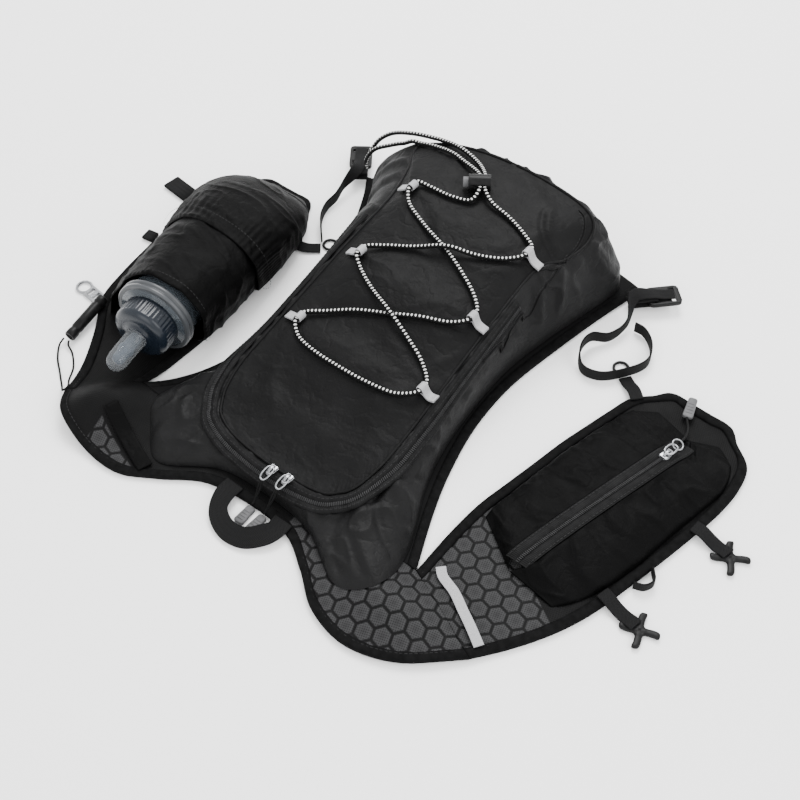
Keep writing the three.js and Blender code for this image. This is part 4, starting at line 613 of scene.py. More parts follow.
def reflective_finish(name):
    """Silver-grey reflective tape: glass beads over a fine weave, their speckle partly the beads' own grain
    and partly their sparkle painted into the colour.
    """
    f = Finish(name, 0.42, specular=0.3)
    _, u, v, _ = f.place()
    beads = f.noise(f.place("Object")[0], 0.5 * MM, 3)
    # Painted sparkle: the lighter specks stand partly for the beads' grain and partly for their glints.
    f.set("Base Color", f.ramp(beads, (0.3, grey(0.2)), (0.7, grey(0.34))))
    f.set("Normal", f.bump(weave_height(f, u, v, 0.9 * MM), 0.12 * MM, 0.7))
    return f.material


def cord_finish(name):
    """Black braided elastic with a row of pale tracer flecks on two sides."""
    f = Finish(name, 0.6, specular=0.1)
    _, u, v, _ = f.place()
    turn = math.pi * BUNGEE_DIAMETER
    around = f.wave(f.math("SUBTRACT", u, turn / 12), turn / 2)
    fleck = f.math("MULTIPLY", f.wave(v, 2.9 * MM), around)
    bright = f.ramp(fleck, (0.46, grey(0.003)), (0.6, (0.55, 0.55, 0.54)))
    f.set("Base Color", bright)
    f.set("Normal", f.bump(braid_height(f, u, v, 1.1 * MM), 0.25 * MM, 0.8))
    return f.material


def plain_cord_finish(name):
    """Thin black braided cord, with painted shade between its plaits and painted light on their tops."""
    f = Finish(name, 0.65, specular=0.1)
    _, u, v, _ = f.place()
    braid = braid_height(f, u, v, 0.9 * MM)
    # Painted shade and light: the colour follows the plait's height, darker between the strands and lighter
    # on them.
    f.set("Base Color", f.ramp(braid, (0.2, grey(0.002)), (0.8, grey(0.01))))
    f.set("Normal", f.bump(braid, 0.2 * MM, 0.8))
    return f.material


def metal_finish(name, colour=(0.72, 0.73, 0.75), roughness=0.22):
    """Plated die-cast metal with small scratches."""
    f = Finish(name, roughness, metallic=1.0)
    spot = f.place("Object")[0]
    worn = f.noise(spot, 1.4 * MM, 4)
    f.set("Base Color", f.ramp(worn, (0.3, tuple(c * 0.8 for c in colour)), (0.7, colour)))
    f.set("Roughness", f.math("MULTIPLY_ADD", worn, 0.3, roughness - 0.08))
    f.set("Normal", f.bump(worn, 0.05 * MM, 0.3))
    return f.material


def clear_finish(name, colour, roughness=0.12, alpha=0.45):
    """Soft plastic, a little cloudy, and see-through where alpha is well under 1."""
    f = Finish(name, roughness, specular=0.3)
    spot = f.place("Object")[0]
    cloud = f.noise(spot, 9 * MM, 3)
    f.set("Base Color", f.ramp(cloud, (0.3, tuple(c * 0.85 for c in colour)), (0.7, colour)))
    f.set("Alpha", f.math("MULTIPLY_ADD", cloud, 0.25, alpha - 0.12))
    f.set("Normal", f.bump(cloud, 0.4 * MM, 0.3))
    return f.material


def zip_tape_finish(name):
    """Ribbed zip tape."""
    f = Finish(name, 0.6, specular=0.07)
    spot = f.place("Object")[0]
    ribs = f.wave(f.place()[2], 1.3 * MM)
    f.set("Base Color", f.ramp(f.noise(spot, 6 * MM, 2), (0.3, grey(0.003)), (0.7, grey(0.007))))
    f.set("Normal", f.bump(ribs, 0.25 * MM, 0.7))
    return f.material


NYLON = nylon_finish("nylon", 0.0040, specular=0.06)
GUSSET_NYLON = nylon_finish("gusset_nylon", 0.0055, roughness=0.48)
POCKET_NYLON = nylon_finish("pocket_nylon", 0.0014, roughness=0.55, specular=0.035)
PIPING = nylon_finish("piping", 0.003, weave=0.5 * MM)
BINDING = binding_finish("binding_tape")
WEBBING = webbing_finish("webbing")
HEX_MESH = mesh_finish("honeycomb_mesh")
AIR_MESH = air_mesh_finish("air_mesh")
PLASTIC = plastic_finish("black_plastic", grey(0.004))
GREY_PLASTIC = plastic_finish("grey_plastic", grey(0.07), 0.42)
REFLECTIVE = reflective_finish("reflective_tape")
BUNGEE = cord_finish("flecked_elastic")
CORD = plain_cord_finish("thin_cord")
METAL = metal_finish("plated_metal", (0.30, 0.305, 0.315))
ZIP_TAPE = zip_tape_finish("zip_tape_ribs")
COIL = plastic_finish("zip_coil", grey(0.015), 0.3)
FLASK = clear_finish("flask_film", (0.05, 0.06, 0.07), alpha=0.7)
COLLAR = clear_finish("flask_collar", (0.045, 0.048, 0.052), 0.25, 1.0)
CAP = clear_finish("flask_cap_blue", (0.006, 0.009, 0.014), 0.25, 1.1)
COVER = clear_finish("nozzle_cover", (0.16, 0.17, 0.18), 0.06, 0.34)
VALVE = plastic_finish("bite_valve", (0.03, 0.042, 0.058), 0.3)
THREAD = plastic_finish("thread", grey(0.012), 0.6)


# The lie of the harness on the floor

ARCHES = table(
    "across along rise turn long wide",
    (1.5, -1.01, 12, 0, 0.42, 0.13),
    (-1.42, -1.0, 20, 0.9, 0.42, 0.13),
)


def lie(x, y):
    """Height of the harness's underside over the floor."""
    height = 0 * x
    for across, along, rise, turn, long, wide in zip(*ARCHES.values()):
        dx, dy = x - across * BAG_HALF_WIDTH, y - along * BAG_HALF_LENGTH
        a = (dx * math.cos(turn) + dy * math.sin(turn)) / (long * BAG_HALF_WIDTH)
        b = (dy * math.cos(turn) - dx * math.sin(turn)) / (wide * BAG_HALF_LENGTH)
        height = height + rise * MM * np.exp(-a * a - b * b)
    return height


YOKE_ALONG = -0.83
BACK_ROWS = table(
    "leftAlong left rightAlong right bow",
    (0.83, -1.53, 1.01, 1.27, 0.13),
    (0.7, -1.38, 0.73, 1.16, 0.09),
    (0.46, -1.18, 0.46, 1.07, 0.02),
    (0.17, -1.05, 0.17, 1.0, 0),
    (-0.1, -1.0, -0.1, 1.02, 0),
    (-0.35, -0.99, -0.35, 1.12, 0),
    (-0.57, -1.09, -0.57, 1.26, 0),
    (YOKE_ALONG, -1.34, YOKE_ALONG, 1.47, 0),
)
YOKE_ROWS = table(
    "inner outer outerAlong",
    (-1.34, -1.8, -1.06), (-1.24, -1.62, -1.16), (-1.09, -1.29, -1.21), (-0.89, -0.93, -1.21),
    (-0.67, -0.64, -1.13), (-0.33, -0.31, -1.02), (0.09, 0.11, -0.99), (0.5, 0.49, -1.01),
    (0.76, 0.78, -1.1), (1.02, 1.07, -1.21), (1.22, 1.44, -1.25), (1.36, 1.84, -1.18), (1.47, 2.2, -1.01),
)
STRAP_ROWS = {
    "right": table(
        "inner innerAlong outer outerAlong",
        (0, 0, 0.63, -0.13), (-0.01, 0.14, 0.86, 0.02), (0.01, 0.3, 1.03, 0.18), (0.08, 0.46, 1.16, 0.41),
        (0.15, 0.63, 1.25, 0.6), (0.23, 0.77, 1.3, 0.77), (0.32, 0.91, 1.25, 0.9), (0.48, 0.98, 1.05, 0.97),
    ),
    "left": table(
        "inner innerAlong outer outerAlong",
        (0, 0, 0.4, -0.16), (0.01, 0.12, 0.6, 0.03), (0, 0.27, 0.88, 0.2), (0.03, 0.4, 0.97, 0.39),
        (0.08, 0.56, 1.02, 0.56), (0.11, 0.71, 1.11, 0.7), (0.14, 0.85, 1.06, 0.85), (0.3, 0.95, 0.8, 0.95),
    ),
}
SIGN = {"right": 1, "left": -1}


def on_back(across, along, z=0.0):
    """A place on the back, in shares of the bag's half width and half length."""
    return stack(across * BAG_HALF_WIDTH, along * BAG_HALF_LENGTH, z)


def back_edges(u):
    return [on_back(column(BACK_ROWS, side, u), column(BACK_ROWS, side + "Along", u))
            for side in ("left", "right")]


def yoke_edges(u):
    inner = on_back(column(YOKE_ROWS, "inner", u), YOKE_ALONG) - np.array([0, GAP, 0])
    return [inner, on_back(column(YOKE_ROWS, "outer", u), column(YOKE_ROWS, "outerAlong", u))]


def on_strap(side, across, along, z=0.0):
    """A place on a strap, in shares of its width and length from the inner end of its shoulder seam."""
    root = yoke_edges(np.array(1.0 if side == "right" else 0.0))[0] + np.array([0, GAP, 0])
    return root + stack(SIGN[side] * across * STRAP_WIDTH, along * STRAP_LENGTH, z)


def strap_edges(side, u):
    rows = STRAP_ROWS[side]
    notch, tip = yoke_edges(np.array(1.0 if side == "right" else 0.0))
    inner, outer = (on_strap(side, column(rows, name, u), column(rows, name + "Along", u))
                    for name in ("inner", "outer"))
    first = stack(SIGN[side] * rows["outer"][0] * STRAP_WIDTH, rows["outerAlong"][0] * STRAP_LENGTH, 0.0)
    settle = np.maximum(0, 1 - u * (len(rows["outer"]) - 1))
    return [inner, outer + (tip - notch - first) * settle[..., None]]


def hex_share(x, y):
    """Where the honeycomb mesh shows: the right shoulder, and a small patch on the left one."""
    right = np.clip((x - 40 * MM) / MM, 0, 1) * np.clip((246 * MM - x + 0.10 * (y + 150 * MM)) / MM, 0, 1)
    right = right * np.clip((-0.62 * (x - 190 * MM) - (y + 97 * MM)) / MM, 0, 1)
    left = np.clip((x + 119 * MM) / MM, 0, 1) * np.clip((-70 * MM - x) / MM, 0, 1)
    left = left * np.clip((-0.33 * x - 0.94 * y) / MM - 210, 0, 1)
    return np.maximum(right, left)


def hexes(x, y):
    """Relief of the honeycomb cells, from 0 at a cell's border to 1 on its top."""
    root = math.sqrt(3)
    a = (x * math.cos(HEX_TURN) + y * math.sin(HEX_TURN)) / HEX_PITCH
    b = (y * math.cos(HEX_TURN) - x * math.sin(HEX_TURN)) / HEX_PITCH
    edge = 1.0 + 0 * a
    for shift in (0, 0.5):
        px = np.abs(np.mod(a - shift, 1) - 0.5)
        py = np.abs(np.mod(b - shift * root, root) - root / 2)
        edge = np.minimum(edge, np.maximum(px, px / 2 + py * root / 2))
    return mix(1.0, np.clip((0.5 - edge) / 0.13, 0, 1) ** 0.7, hex_share(x, y))


EDGE = BINDING_WIDTH * 0.6


def pad_piece(name, node, edges, u_range, counts, thickness, insets, finish, bow=None, relief=0.0,
              reach=0.0):
    """A padded part of the harness between two edge lines."""
    u = np.linspace(*u_range, counts[0])
    a, b = edges(u)
    run = b - a
    width = np.linalg.norm(run, axis=-1)
    t = mix((insets[0] / width)[:, None], (1 - insets[1] / width)[:, None],
            np.linspace(0, 1, counts[1])[None])
    plan = a[:, None] + run[:, None] * t[..., None]
    if bow is not None:
        plan[..., 1] += bow(u)[:, None] * (1 - (2 * t - 1) ** 2)
    if reach:
        plan[..., 1] += reach * np.clip((u[:, None] - 0.9) / 0.1, 0, 1) * (1 - (2 * t - 1) ** 4)
    x, y = plan[..., 0], plan[..., 1]
    ground = lie(x, y)
    top = plan.copy()
    soft = 0.6 * MM * wobble(stack(x, y, 0.0), 40 * MM)
    top[..., 2] = ground + thickness + np.minimum(soft, 0.2 * MM) + relief * (hexes(x, y) - 1)
    bottom = plan.copy()
    bottom[..., 2] = ground
    piece = slab(name, top, bottom)
    return finish_piece(piece, finish, [node])


def hem_bow(u):
    return column(BACK_ROWS, "bow", u) * BAG_HALF_LENGTH


def harness():
    pad_piece("back_pad", "back_panel", back_edges, (0, 1), (120, 80), BACK_PAD, (EDGE, EDGE), AIR_MESH,
              hem_bow)
    pad_piece("yoke_pad", "shoulder_yoke", yoke_edges, (0, 1), (320, 46), BACK_PAD, (0, EDGE), HEX_MESH,
              relief=0.9 * MM)
    for side in ("left", "right"):
        pad_piece(f"strap_{side}_pad", f"strap_{side}", lambda u, side=side: strap_edges(side, u), (0, 1),
                  (170, 80), STRAP_PAD, (EDGE, EDGE), HEX_MESH, relief=0.8 * MM, reach=BINDING_WIDTH * 0.45)


# Edge bindings

def edge_line(edges, u, side):
    """The middle line of a binding along one edge, and the direction from the edge inwards."""
    a, b = edges(u)
    inward = unit(b - a) * (1 if side == 0 else -1)
    return (a if side == 0 else b) + inward * BINDING_WIDTH / 2, inward


def binding_piece(name, centre, inward):
    """Folded tape, puckered by its stitches."""
    x, y = centre[:, 0], centre[:, 1]
    length = reach_along(centre[:, :2])
    ring = section(BINDING_WIDTH, BINDING_HEIGHT, 18, 2.6)
    pucker = 1 + 0.045 * np.sin(length * 2 * math.pi / (6.1 * MM)) + 0.05 * wobble(stack(x, y, 0.0), 9 * MM)
    middle = stack(x, y, lie(x, y) + BINDING_HEIGHT / 2)
    stretched = ring[None] * np.stack([np.ones(len(centre)), pucker], 1)[:, None]
    groove = 0.35 * MM * np.exp(-((ring[:, 0] + 1.4 * MM) / (0.7 * MM)) ** 2) * (ring[:, 1] > 0)
    stretched[..., 1] -= groove[None]
    rise = upright(centre)[:, None] * stretched[..., 1:]
    grid = middle[:, None] + inward[:, None] * stretched[..., :1] + rise
    return finish_piece(surface(name + "_tape", grid, around=True, ends=True), BINDING, [name])


STITCH = 2.0 * MM


def stitches(name, line, up, length=STITCH, pitch=3.2 * MM, width=0.45 * MM):
    """A row of single stitches along a line: small threads lying on the cloth."""
    line = np.asarray(line, float)
    reach = reach_along(line)
    starts = np.arange(pitch, reach[-1] - pitch, pitch)
    at = lambda values, place: np.stack([np.interp(place, reach, values[:, k]) for k in range(3)], 1)
    middles = at(line, starts)
    run = unit(at(line, starts + length / 2) - at(line, starts - length / 2))
    rise = unit(at(np.asarray(up, float), starts))
    side = unit(np.cross(run, rise))
    shape = [(-0.5, -0.5, 0), (-0.5, 0.5, 0), (0.5, 0.5, 0), (0.5, -0.5, 0), (-0.3, 0, 0.6), (0.3, 0, 0.6)]
    corners = [middles + run * a * length + side * b * width + rise * c * width for a, b, c in shape]
    vertices = np.stack(corners, 1).reshape(-1, 3)
    faces = []
    for k in range(len(starts)):
        o = 6 * k
        faces += [(o, o + 1, o + 4), (o + 1, o + 2, o + 5, o + 4)]
        faces += [(o + 2, o + 3, o + 5), (o + 3, o, o + 4, o + 5)]
    return finish_piece(build(name, vertices, faces), THREAD)


def stitched_binding(name, centre, inward):
    binding_piece(name, centre, inward)
    x, y = centre[:, 0] + inward[:, 0] * 1.4 * MM, centre[:, 1] + inward[:, 1] * 1.4 * MM
    top = stack(x, y, lie(x, y) + BINDING_HEIGHT - 0.42 * MM)
    stitches(name + "_stitches", top, upright(top))


def bindings():
    for name, edges, side, count in (("binding_side_left", back_edges, 0, 240),
                                     ("binding_side_right", back_edges, 1, 260),
                                     ("binding_neck", yoke_edges, 1, 340)):
        stitched_binding(name, *edge_line(edges, np.linspace(0, 1, count), side))
    for side in ("left", "right"):
        strap = lambda u, side=side: strap_edges(side, u)
        inner, inner_in = edge_line(strap, np.linspace(0, 0.95, 61), 0)
        outer, outer_in = edge_line(strap, np.linspace(0.95, 0, 61), 1)
        a, b = strap(np.array(1.0))
        corners = [mix(a, b, t) + np.array([0, BINDING_WIDTH / 2, 0]) for t in (0.12, 0.35, 0.65, 0.88)]
        turned = unit(np.array([[SIGN[side], -1.0, 0], [0, -1, 0], [0, -1, 0], [-SIGN[side], -1, 0]]))
        line = smooth(np.vstack([inner[::6], corners, outer[::6]]), 12)
        across = smooth(np.vstack([inner_in[::6], turned, outer_in[::6]]), 12)
        stitched_binding(f"binding_strap_{side}", line, unit(across))


# The bag's cloth

BAG_ROWS = table(
    "baseAcross baseAlong edgeAcross edgeAlong rise full",
    (0, 1.02, -0.06, 0.95, 0.93, 1), (0.56, 1.02, 0.5, 0.94, 0.91, 1), (0.93, 0.99, 0.8, 0.9, 0.86, 0.9),
    (1.12, 0.94, 0.89, 0.81, 0.76, 0.7), (1.05, 0.69, 0.86, 0.65, 0.76, 0.9),
    (0.97, 0.48, 0.75, 0.51, 0.8, 1),
    (0.9, 0.22, 0.75, 0.22, 0.68, 1), (0.91, -0.02, 0.77, -0.06, 0.56, 1),
    (0.97, -0.28, 0.79, -0.31, 0.44, 1),
    (1.08, -0.49, 0.8, -0.52, 0.35, 0.8), (1.34, -0.8, 0.79, -0.63, 0.31, 0.45),
    (1.36, -1.0, 0.75, -0.73, 0.27, 0.35), (1.08, -1.08, 0.67, -0.78, 0.23, 0.35),
    (0.62, -0.95, 0.53, -0.82, 0.2, 0.8), (0.16, -0.92, 0.16, -0.835, 0.18, 0.9),
    (-0.29, -0.94, -0.29, -0.82, 0.19, 0.8), (-0.72, -1.07, -0.53, -0.78, 0.21, 0.45),
    (-0.99, -0.97, -0.63, -0.72, 0.23, 0.4), (-1.14, -0.82, -0.69, -0.65, 0.27, 0.45),
    (-0.95, -0.55, -0.73, -0.52, 0.34, 0.8), (-0.88, -0.33, -0.74, -0.31, 0.42, 1),
    (-0.89, -0.09, -0.74, -0.06, 0.54, 1), (-0.94, 0.18, -0.74, 0.21, 0.66, 1),
    (-1.05, 0.45, -0.73, 0.49, 0.78, 1), (-1.22, 0.66, -0.83, 0.69, 0.78, 0.9),
    (-1.32, 0.8, -0.93, 0.85, 0.78, 0.8), (-0.69, 0.97, -0.56, 0.92, 0.89, 1),
)
CROWN_ROWS = table(
    "along rise",
    (-0.84, 0.2), (-0.59, 0.38), (-0.24, 0.57), (0.16, 0.79), (0.56, 0.95), (0.8, 1), (0.94, 0.93),
)
PANEL_MIDDLE = 0.05


def bag_column(name, s):
    return column(BAG_ROWS, name, np.mod(s, 1), closed=True)


def bag_base(s):
    x, y = bag_column("baseAcross", s) * BAG_HALF_WIDTH, bag_column("baseAlong", s) * BAG_HALF_LENGTH
    return stack(x, y, lie(x, y) + BACK_PAD + 1.5 * GAP)


def bag_edge(s):
    height = BACK_PAD + GAP + bag_column("rise", s) * BAG_DEPTH
    return on_back(bag_column("edgeAcross", s), bag_column("edgeAlong", s), height)


def bag_point(s, w):
    """A point of the bag's side: w runs from the back to the front panel's seam."""
    base, edge = bag_base(s), bag_edge(s)
    climb = mix(w, np.sqrt(np.maximum(0, 1 - (1 - w) ** 2)), bag_column("full", s))
    return stack(mix(base[..., 0], edge[..., 0], w), mix(base[..., 1], edge[..., 1], w),
                 mix(base[..., 2], edge[..., 2], climb))


def panel_point(s, v):
    """A point of the front panel: v runs from its seam to its middle."""
    edge = bag_edge(s)
    y = mix(edge[..., 1], PANEL_MIDDLE * BAG_HALF_LENGTH, v)
    crown = BACK_PAD + GAP + look_up(CROWN_ROWS, "along", "rise", y / BAG_HALF_LENGTH) * BAG_DEPTH
    return stack(mix(edge[..., 0], 0, v), y, mix(edge[..., 2], crown, 1 - (1 - v) ** 3))


def side_at(s, distance):
    """Where the bag's side lies at a distance below the front panel's seam."""
    s, distance = np.broadcast_arrays(np.asarray(s, float), np.asarray(distance, float))
    w = np.linspace(1, 0.02, 80)
    line = bag_point(s[..., None], w)
    steps = np.linalg.norm(np.diff(line, axis=-2), axis=-1)
    reach = np.concatenate([np.zeros(s.shape + (1,)), np.cumsum(steps, axis=-1)], axis=-1)
    flat = [np.interp(d, r, w) for d, r in zip(distance.ravel(), reach.reshape(-1, len(w)))]
    return np.array(flat).reshape(s.shape)


def bag_normal(s, w):
    along = bag_point(s, np.minimum(w + 0.01, 1)) - bag_point(s, w - 0.01)
    around = bag_point(s + 0.002, w) - bag_point(s - 0.002, w)
    return unit(np.cross(along, around))


# Long soft folds of the bag: two ends in plan in shares, half width and height in millimetres
SIDE_FOLDS = table(
    "fromAcross fromAlong toAcross toAlong half height",
    (0.86, 0.63, 1.0, 0.55, 3.5, 2.4), (0.86, 0.63, 1.02, 0.74, 4, -1.8), (0.85, 0.62, 0.93, 0.35, 3.5, -1.6),
    (0.80, 0.55, 0.96, 0.42, 3.0, 1.8), (0.80, 0.20, 0.92, 0.30, 3.5, 1.4), (0.82, -0.05, 0.9, 0.12, 4, -1.3),
    (0.82, -0.20, 0.93, -0.10, 3, 1.2), (0.84, -0.42, 1.02, -0.32, 3.5, 1.4),
    (0.86, -0.55, 1.2, -0.66, 5, 1.9),
    (0.84, -0.62, 1.3, -0.86, 4, -1.9), (0.8, -0.7, 1.28, -0.98, 5, 1.6), (0.72, -0.76, 1.05, -1.04, 4, -1.5),
    (0.55, -0.83, 0.75, -0.98, 4, 1.2), (-0.4, -0.82, -0.62, -1.0, 4, 1.2),
    (-0.58, -0.76, -0.92, -1.0, 5, 1.6),
    (-0.66, -0.7, -1.08, -0.9, 4, -1.6), (-0.7, -0.6, -1.06, -0.74, 4.5, 1.6),
    (-0.74, -0.45, -0.93, -0.56, 3, -1.2),
    (-0.75, -0.2, -0.87, -0.3, 3.5, 1.2), (-0.75, 0.1, -0.9, 0.0, 3.5, -1.3),
    (-0.74, 0.4, -0.98, 0.3, 4, 1.7),
    (-0.78, 0.6, -1.12, 0.5, 4, -1.8), (-0.85, 0.74, -1.2, 0.66, 4.5, 2.2), (-0.92, 0.84, -1.3, 0.77, 4, 1.8),
    (-0.85, 0.88, -1.05, 0.9, 4, -1.6), (-0.4, 0.92, -0.45, 1.0, 5, 1.6), (0.2, 0.94, 0.25, 1.02, 5, 1.5),
    (1.04, -0.52, 0.92, -0.73, 2.2, -1.8), (0.6, 0.92, 0.72, 1.0, 4, 1.6), (0.9, 0.82, 1.1, 0.9, 4, 2.0),
    (0.88, 0.74, 1.1, 0.8, 3.5, -1.7),
)
PANEL_FOLDS = table(
    "fromAcross fromAlong toAcross toAlong half height",
    (-0.1, 0.33, -0.62, 0.52, 5, -0.9), (0.06, 0.33, 0.7, 0.44, 5, 0.8), (0.0, -0.05, 0.66, -0.2, 5, 0.8),
    (0.0, -0.05, -0.6, -0.28, 5, -0.8), (0.62, 0.13, 0.2, 0.05, 4, 0.7), (-0.5, 0.13, -0.1, 0.2, 4, 0.7),
    (-0.55, -0.25, -0.3, -0.6, 6, 0.9), (0.68, -0.25, 0.3, -0.62, 6, 0.9), (0.1, -0.82, 0.15, -0.5, 7, 0.8),
    (0.64, 0.52, 0.3, 0.86, 5, 0.9), (-0.55, 0.53, -0.5, 0.86, 5, 0.9), (-0.2, 0.93, 0.0, 0.72, 6, -0.9),
    (0.4, 0.92, 0.3, 0.72, 6, -0.8), (0.5, 0.74, 0.78, 0.61, 2.5, -1.6), (0.54, 0.77, 0.8, 0.65, 3, 1.2),
    (-0.72, 0.3, -0.45, 0.14, 4, 0.7), (0.74, -0.02, 0.6, -0.24, 4, 0.8),
)


def fold_height(x, y, folds, clear):
    """Height that long soft folds give at places in plan, fading within their ends."""
    height = 0 * x
    for fa, fl, ta, tl, half, tall in zip(*folds.values()):
        ax, ay = fa * BAG_HALF_WIDTH, fl * BAG_HALF_LENGTH
        bx, by = ta * BAG_HALF_WIDTH, tl * BAG_HALF_LENGTH
        length = math.hypot(bx - ax, by - ay)
        along = ((x - ax) * (bx - ax) + (y - ay) * (by - ay)) / length
        across = ((y - ay) * (bx - ax) - (x - ax) * (by - ay)) / length
        bend = across + 0.12 * length * np.sin(math.pi * along / length)
        outside = np.maximum(np.maximum(-along, along - length), 0)
        reach = half * MM
        height = height + tall * MM * np.exp(-(bend / reach) ** 2 - (outside / (2 * reach)) ** 2)
    return height * clear


def bag_wrinkles(grid, s, w):
    """Displacement of the bag's side: long folds, puckers at both seams and small creases."""
    x, y = grid[..., 0], grid[..., 1]
    clear = np.clip(w / 0.16, 0, 1) * np.clip((1 - w) / 0.10, 0, 1)
    folds = fold_height(x, y, SIDE_FOLDS, clear)
    puckers = 0.22 * MM * np.sin(s * 2 * math.pi * 118 + 2.5 * np.sin(s * 61)) * np.exp(-(1 - w) / 0.10)
    stretched = grid * np.array([1, 1, 0.45])
    lumps = 1.5 * MM * wobble(stretched, 34 * MM, 3.1) + 0.4 * MM * wobble(stretched, 11 * MM, 7.7)
    warped = stretched + 8 * MM * stack(wobble(grid, 36 * MM, 41.0), wobble(grid, 36 * MM, 51.0), 0.0)
    ridges = 1 - np.abs(wobble(warped, 20 * MM, 12.4)) * 3.0
    creases = 1.7 * MM * np.clip(ridges, 0, 1) ** 2
    return folds + (lumps + creases) * clear + puckers * np.clip((1 - w) / 0.03, 0, 1)


def bag_side():
    s = np.arange(560)[None] / 560
    w = (1 - np.cos(np.linspace(0, math.pi / 2, 58)))[:, None]
    w = 1 - w[::-1] * 0.999
    grid = bag_point(s, w + 0 * s)
    shift = bag_wrinkles(grid, s + 0 * w, w + 0 * s)
    grid = grid + grid_out(s, w) * shift[..., None]
    piece = surface("gusset_cloth", grid, around=True)
    finish_piece(piece, GUSSET_NYLON, ["bag_body"])
    return piece


def grid_out(s, w):
    return bag_normal(s + 0 * w, np.clip(w + 0 * s, 0.03, 0.999))


def bag_panel():
    count = 520
    s = np.arange(count)[None] / count
    v = (np.linspace(0, 1, 90) ** 1.25)[:, None] * 0.995
    grid = panel_point(s, v + 0 * s)
    x, y = grid[..., 0], grid[..., 1]
    clear = np.clip(v / 0.10, 0, 1) + 0 * s
    flat = stack(x, y, 0.0)
    lumps = 0.55 * MM * wobble(flat, 44 * MM, 5.0) + 0.2 * MM * wobble(flat, 15 * MM, 9.0)
    ridges = np.clip(1 - np.abs(wobble(flat * np.array([0.55, 1, 1]), 20 * MM, 21.0)) * 2.4, 0, 1) ** 5
    puckers = 0.12 * MM * np.sin(s * 2 * math.pi * 104 + 2 * np.sin(s * 47)) * np.exp(-v / 0.05)
    rise = fold_height(x, y, PANEL_FOLDS, clear) + (lumps + 0.35 * MM * ridges) * clear
    grid[..., 2] += rise + puckers * np.clip(v / 0.012, 0, 1) - 0.2 * MM * (v == 0)
    closing = np.array([[[0.0, PANEL_MIDDLE * BAG_HALF_LENGTH, grid[-1, :, 2].mean()]]])
    grid = np.concatenate([grid, np.repeat(closing, count, axis=1)])
    closed = np.concatenate([grid, grid[:, :1]], axis=1)
    piece = surface("front_cloth", grid, around=True, uv=closed[..., :2])
    weld(piece, 0.005 * MM)
    finish_piece(piece, NYLON, ["front_panel"])
    return piece


def seam_piping():
    s = np.linspace(0.002, 0.998, 620)
    line = bag_edge(s)
    bead = tube("piping_cord", line, PIPING_DIAMETER, 12)
    return finish_piece(bead, PIPING, ["piping"])


# The gusset's long seam runs beside the panel and turns into the bottom corner, and a short one meets it.
SEAM_ACROSS = 0.87  # share of the bag's half width
SEAM_START = 0.04  # shares of its half length
SEAM_TURN = 0.7
SEAM_CORNER = 0.19
SHORT_SEAM = 0.1


def seam_routes():
    """Each gusset seam's route, in shares of the bag's half width and half length."""
    straight = [(SEAM_ACROSS, along) for along in np.linspace(SEAM_START, SEAM_TURN, 8, endpoint=False)]
    corner = []
    for turn in np.linspace(0, math.pi / 2, 6):
        across = SEAM_ACROSS - SEAM_CORNER * (1 - math.cos(turn))
        corner.append((across, SEAM_TURN + SEAM_CORNER * math.sin(turn)))
    meeting = SEAM_TURN - SHORT_SEAM
    short = [(SEAM_ACROSS - back, meeting - back) for back in np.linspace(SHORT_SEAM, 0, 4)]
    return {"corner": straight + corner, "short": short}


def gusset_seams(skin):
    """Topstitched seams between the bag's cut pieces: a thin ridge with a stitch line beside it."""
    for name, route in seam_routes().items():
        plan = smooth([(a * BAG_HALF_WIDTH, b * BAG_HALF_LENGTH, 0) for a, b in route], 14)
        line = plan.copy()
        up = np.zeros_like(plan)
        for i, (x, y, _) in enumerate(plan):
            hit = skin.ray_cast(Vector((x, y, 0.5)), Vector((0, 0, -1)))
            up[i] = hit[1]
            line[i] = np.array(hit[0]) + up[i] * 0.25 * MM
        finish_piece(tube(f"seam_{name}", line, 1.3 * MM, 8), PIPING)
        side = unit(np.cross(up, along_points(line)))
        stitches(f"seam_{name}_stitches", line + side * 2.2 * MM, up)


# The main zip

ZIP_FROM, ZIP_TO = 10 / 48, 40 / 48
SEAM_CLEAR = PIPING_DIAMETER / 2 + 3 * GAP


def zip_place(s, distance, lift):
    w = side_at(s, distance)
    return bag_point(s, w) + bag_normal(s, w) * np.asarray(lift)[..., None]


def main_zip():
    s = np.linspace(ZIP_FROM, ZIP_TO, 420)[:, None]
    lanes = np.array([0.0, 0.5, 2.2, 4.2, 4.8, 5.4, 6.6, 7.8, 8.4, 9.0, 11.0, 12.4, 13.0])[None] * MM
    profile = np.array([0.2, 1.6, 1.9, 1.8, 1.2, 1.1, 1.1, 1.1, 1.2, 1.8, 1.9, 1.6, 0.2])[None] * MM
    bend = 0.35 * MM * wobble(stack(s * 0.6, lanes * 0, 0.0), 11 * MM)
    top = zip_place(s + 0 * lanes, SEAM_CLEAR + GAP + lanes + 0 * s, profile + bend + 0.9 * MM)
    tape = surface("zip_tape_cloth", top)
    finish_piece(tape, ZIP_TAPE, ["zip_tape"])
    zip_coil(s[:, 0])
    for name, lane in (("inner", 2.6), ("outer", 10.6)):
        line = zip_place(s[:, 0], SEAM_CLEAR + GAP + lane * MM + 0 * s[:, 0], 2.8 * MM + 0 * s[:, 0])
        up = bag_normal(s[:, 0], side_at(s[:, 0], lane * MM + 0 * s[:, 0]))
        stitches(f"zip_stitches_{name}", line, up)
    return tape


def zip_coil(s):
    """The coil's teeth: short rounded bars side by side along the middle of the tape."""
    middle = 6.6 * MM + SEAM_CLEAR + GAP
    line = zip_place(s, middle + 0 * s, 2.3 * MM + 0 * s)
    side = unit(zip_place(s, middle + MM + 0 * s, 2.3 * MM + 0 * s) - line)
    up = bag_normal(s, side_at(s, middle + 0 * s))
    piece = teeth("zip_coil", line, side, up, 3.1 * MM, 1.5 * MM, 0.8 * MM)
    return finish_piece(piece, COIL)


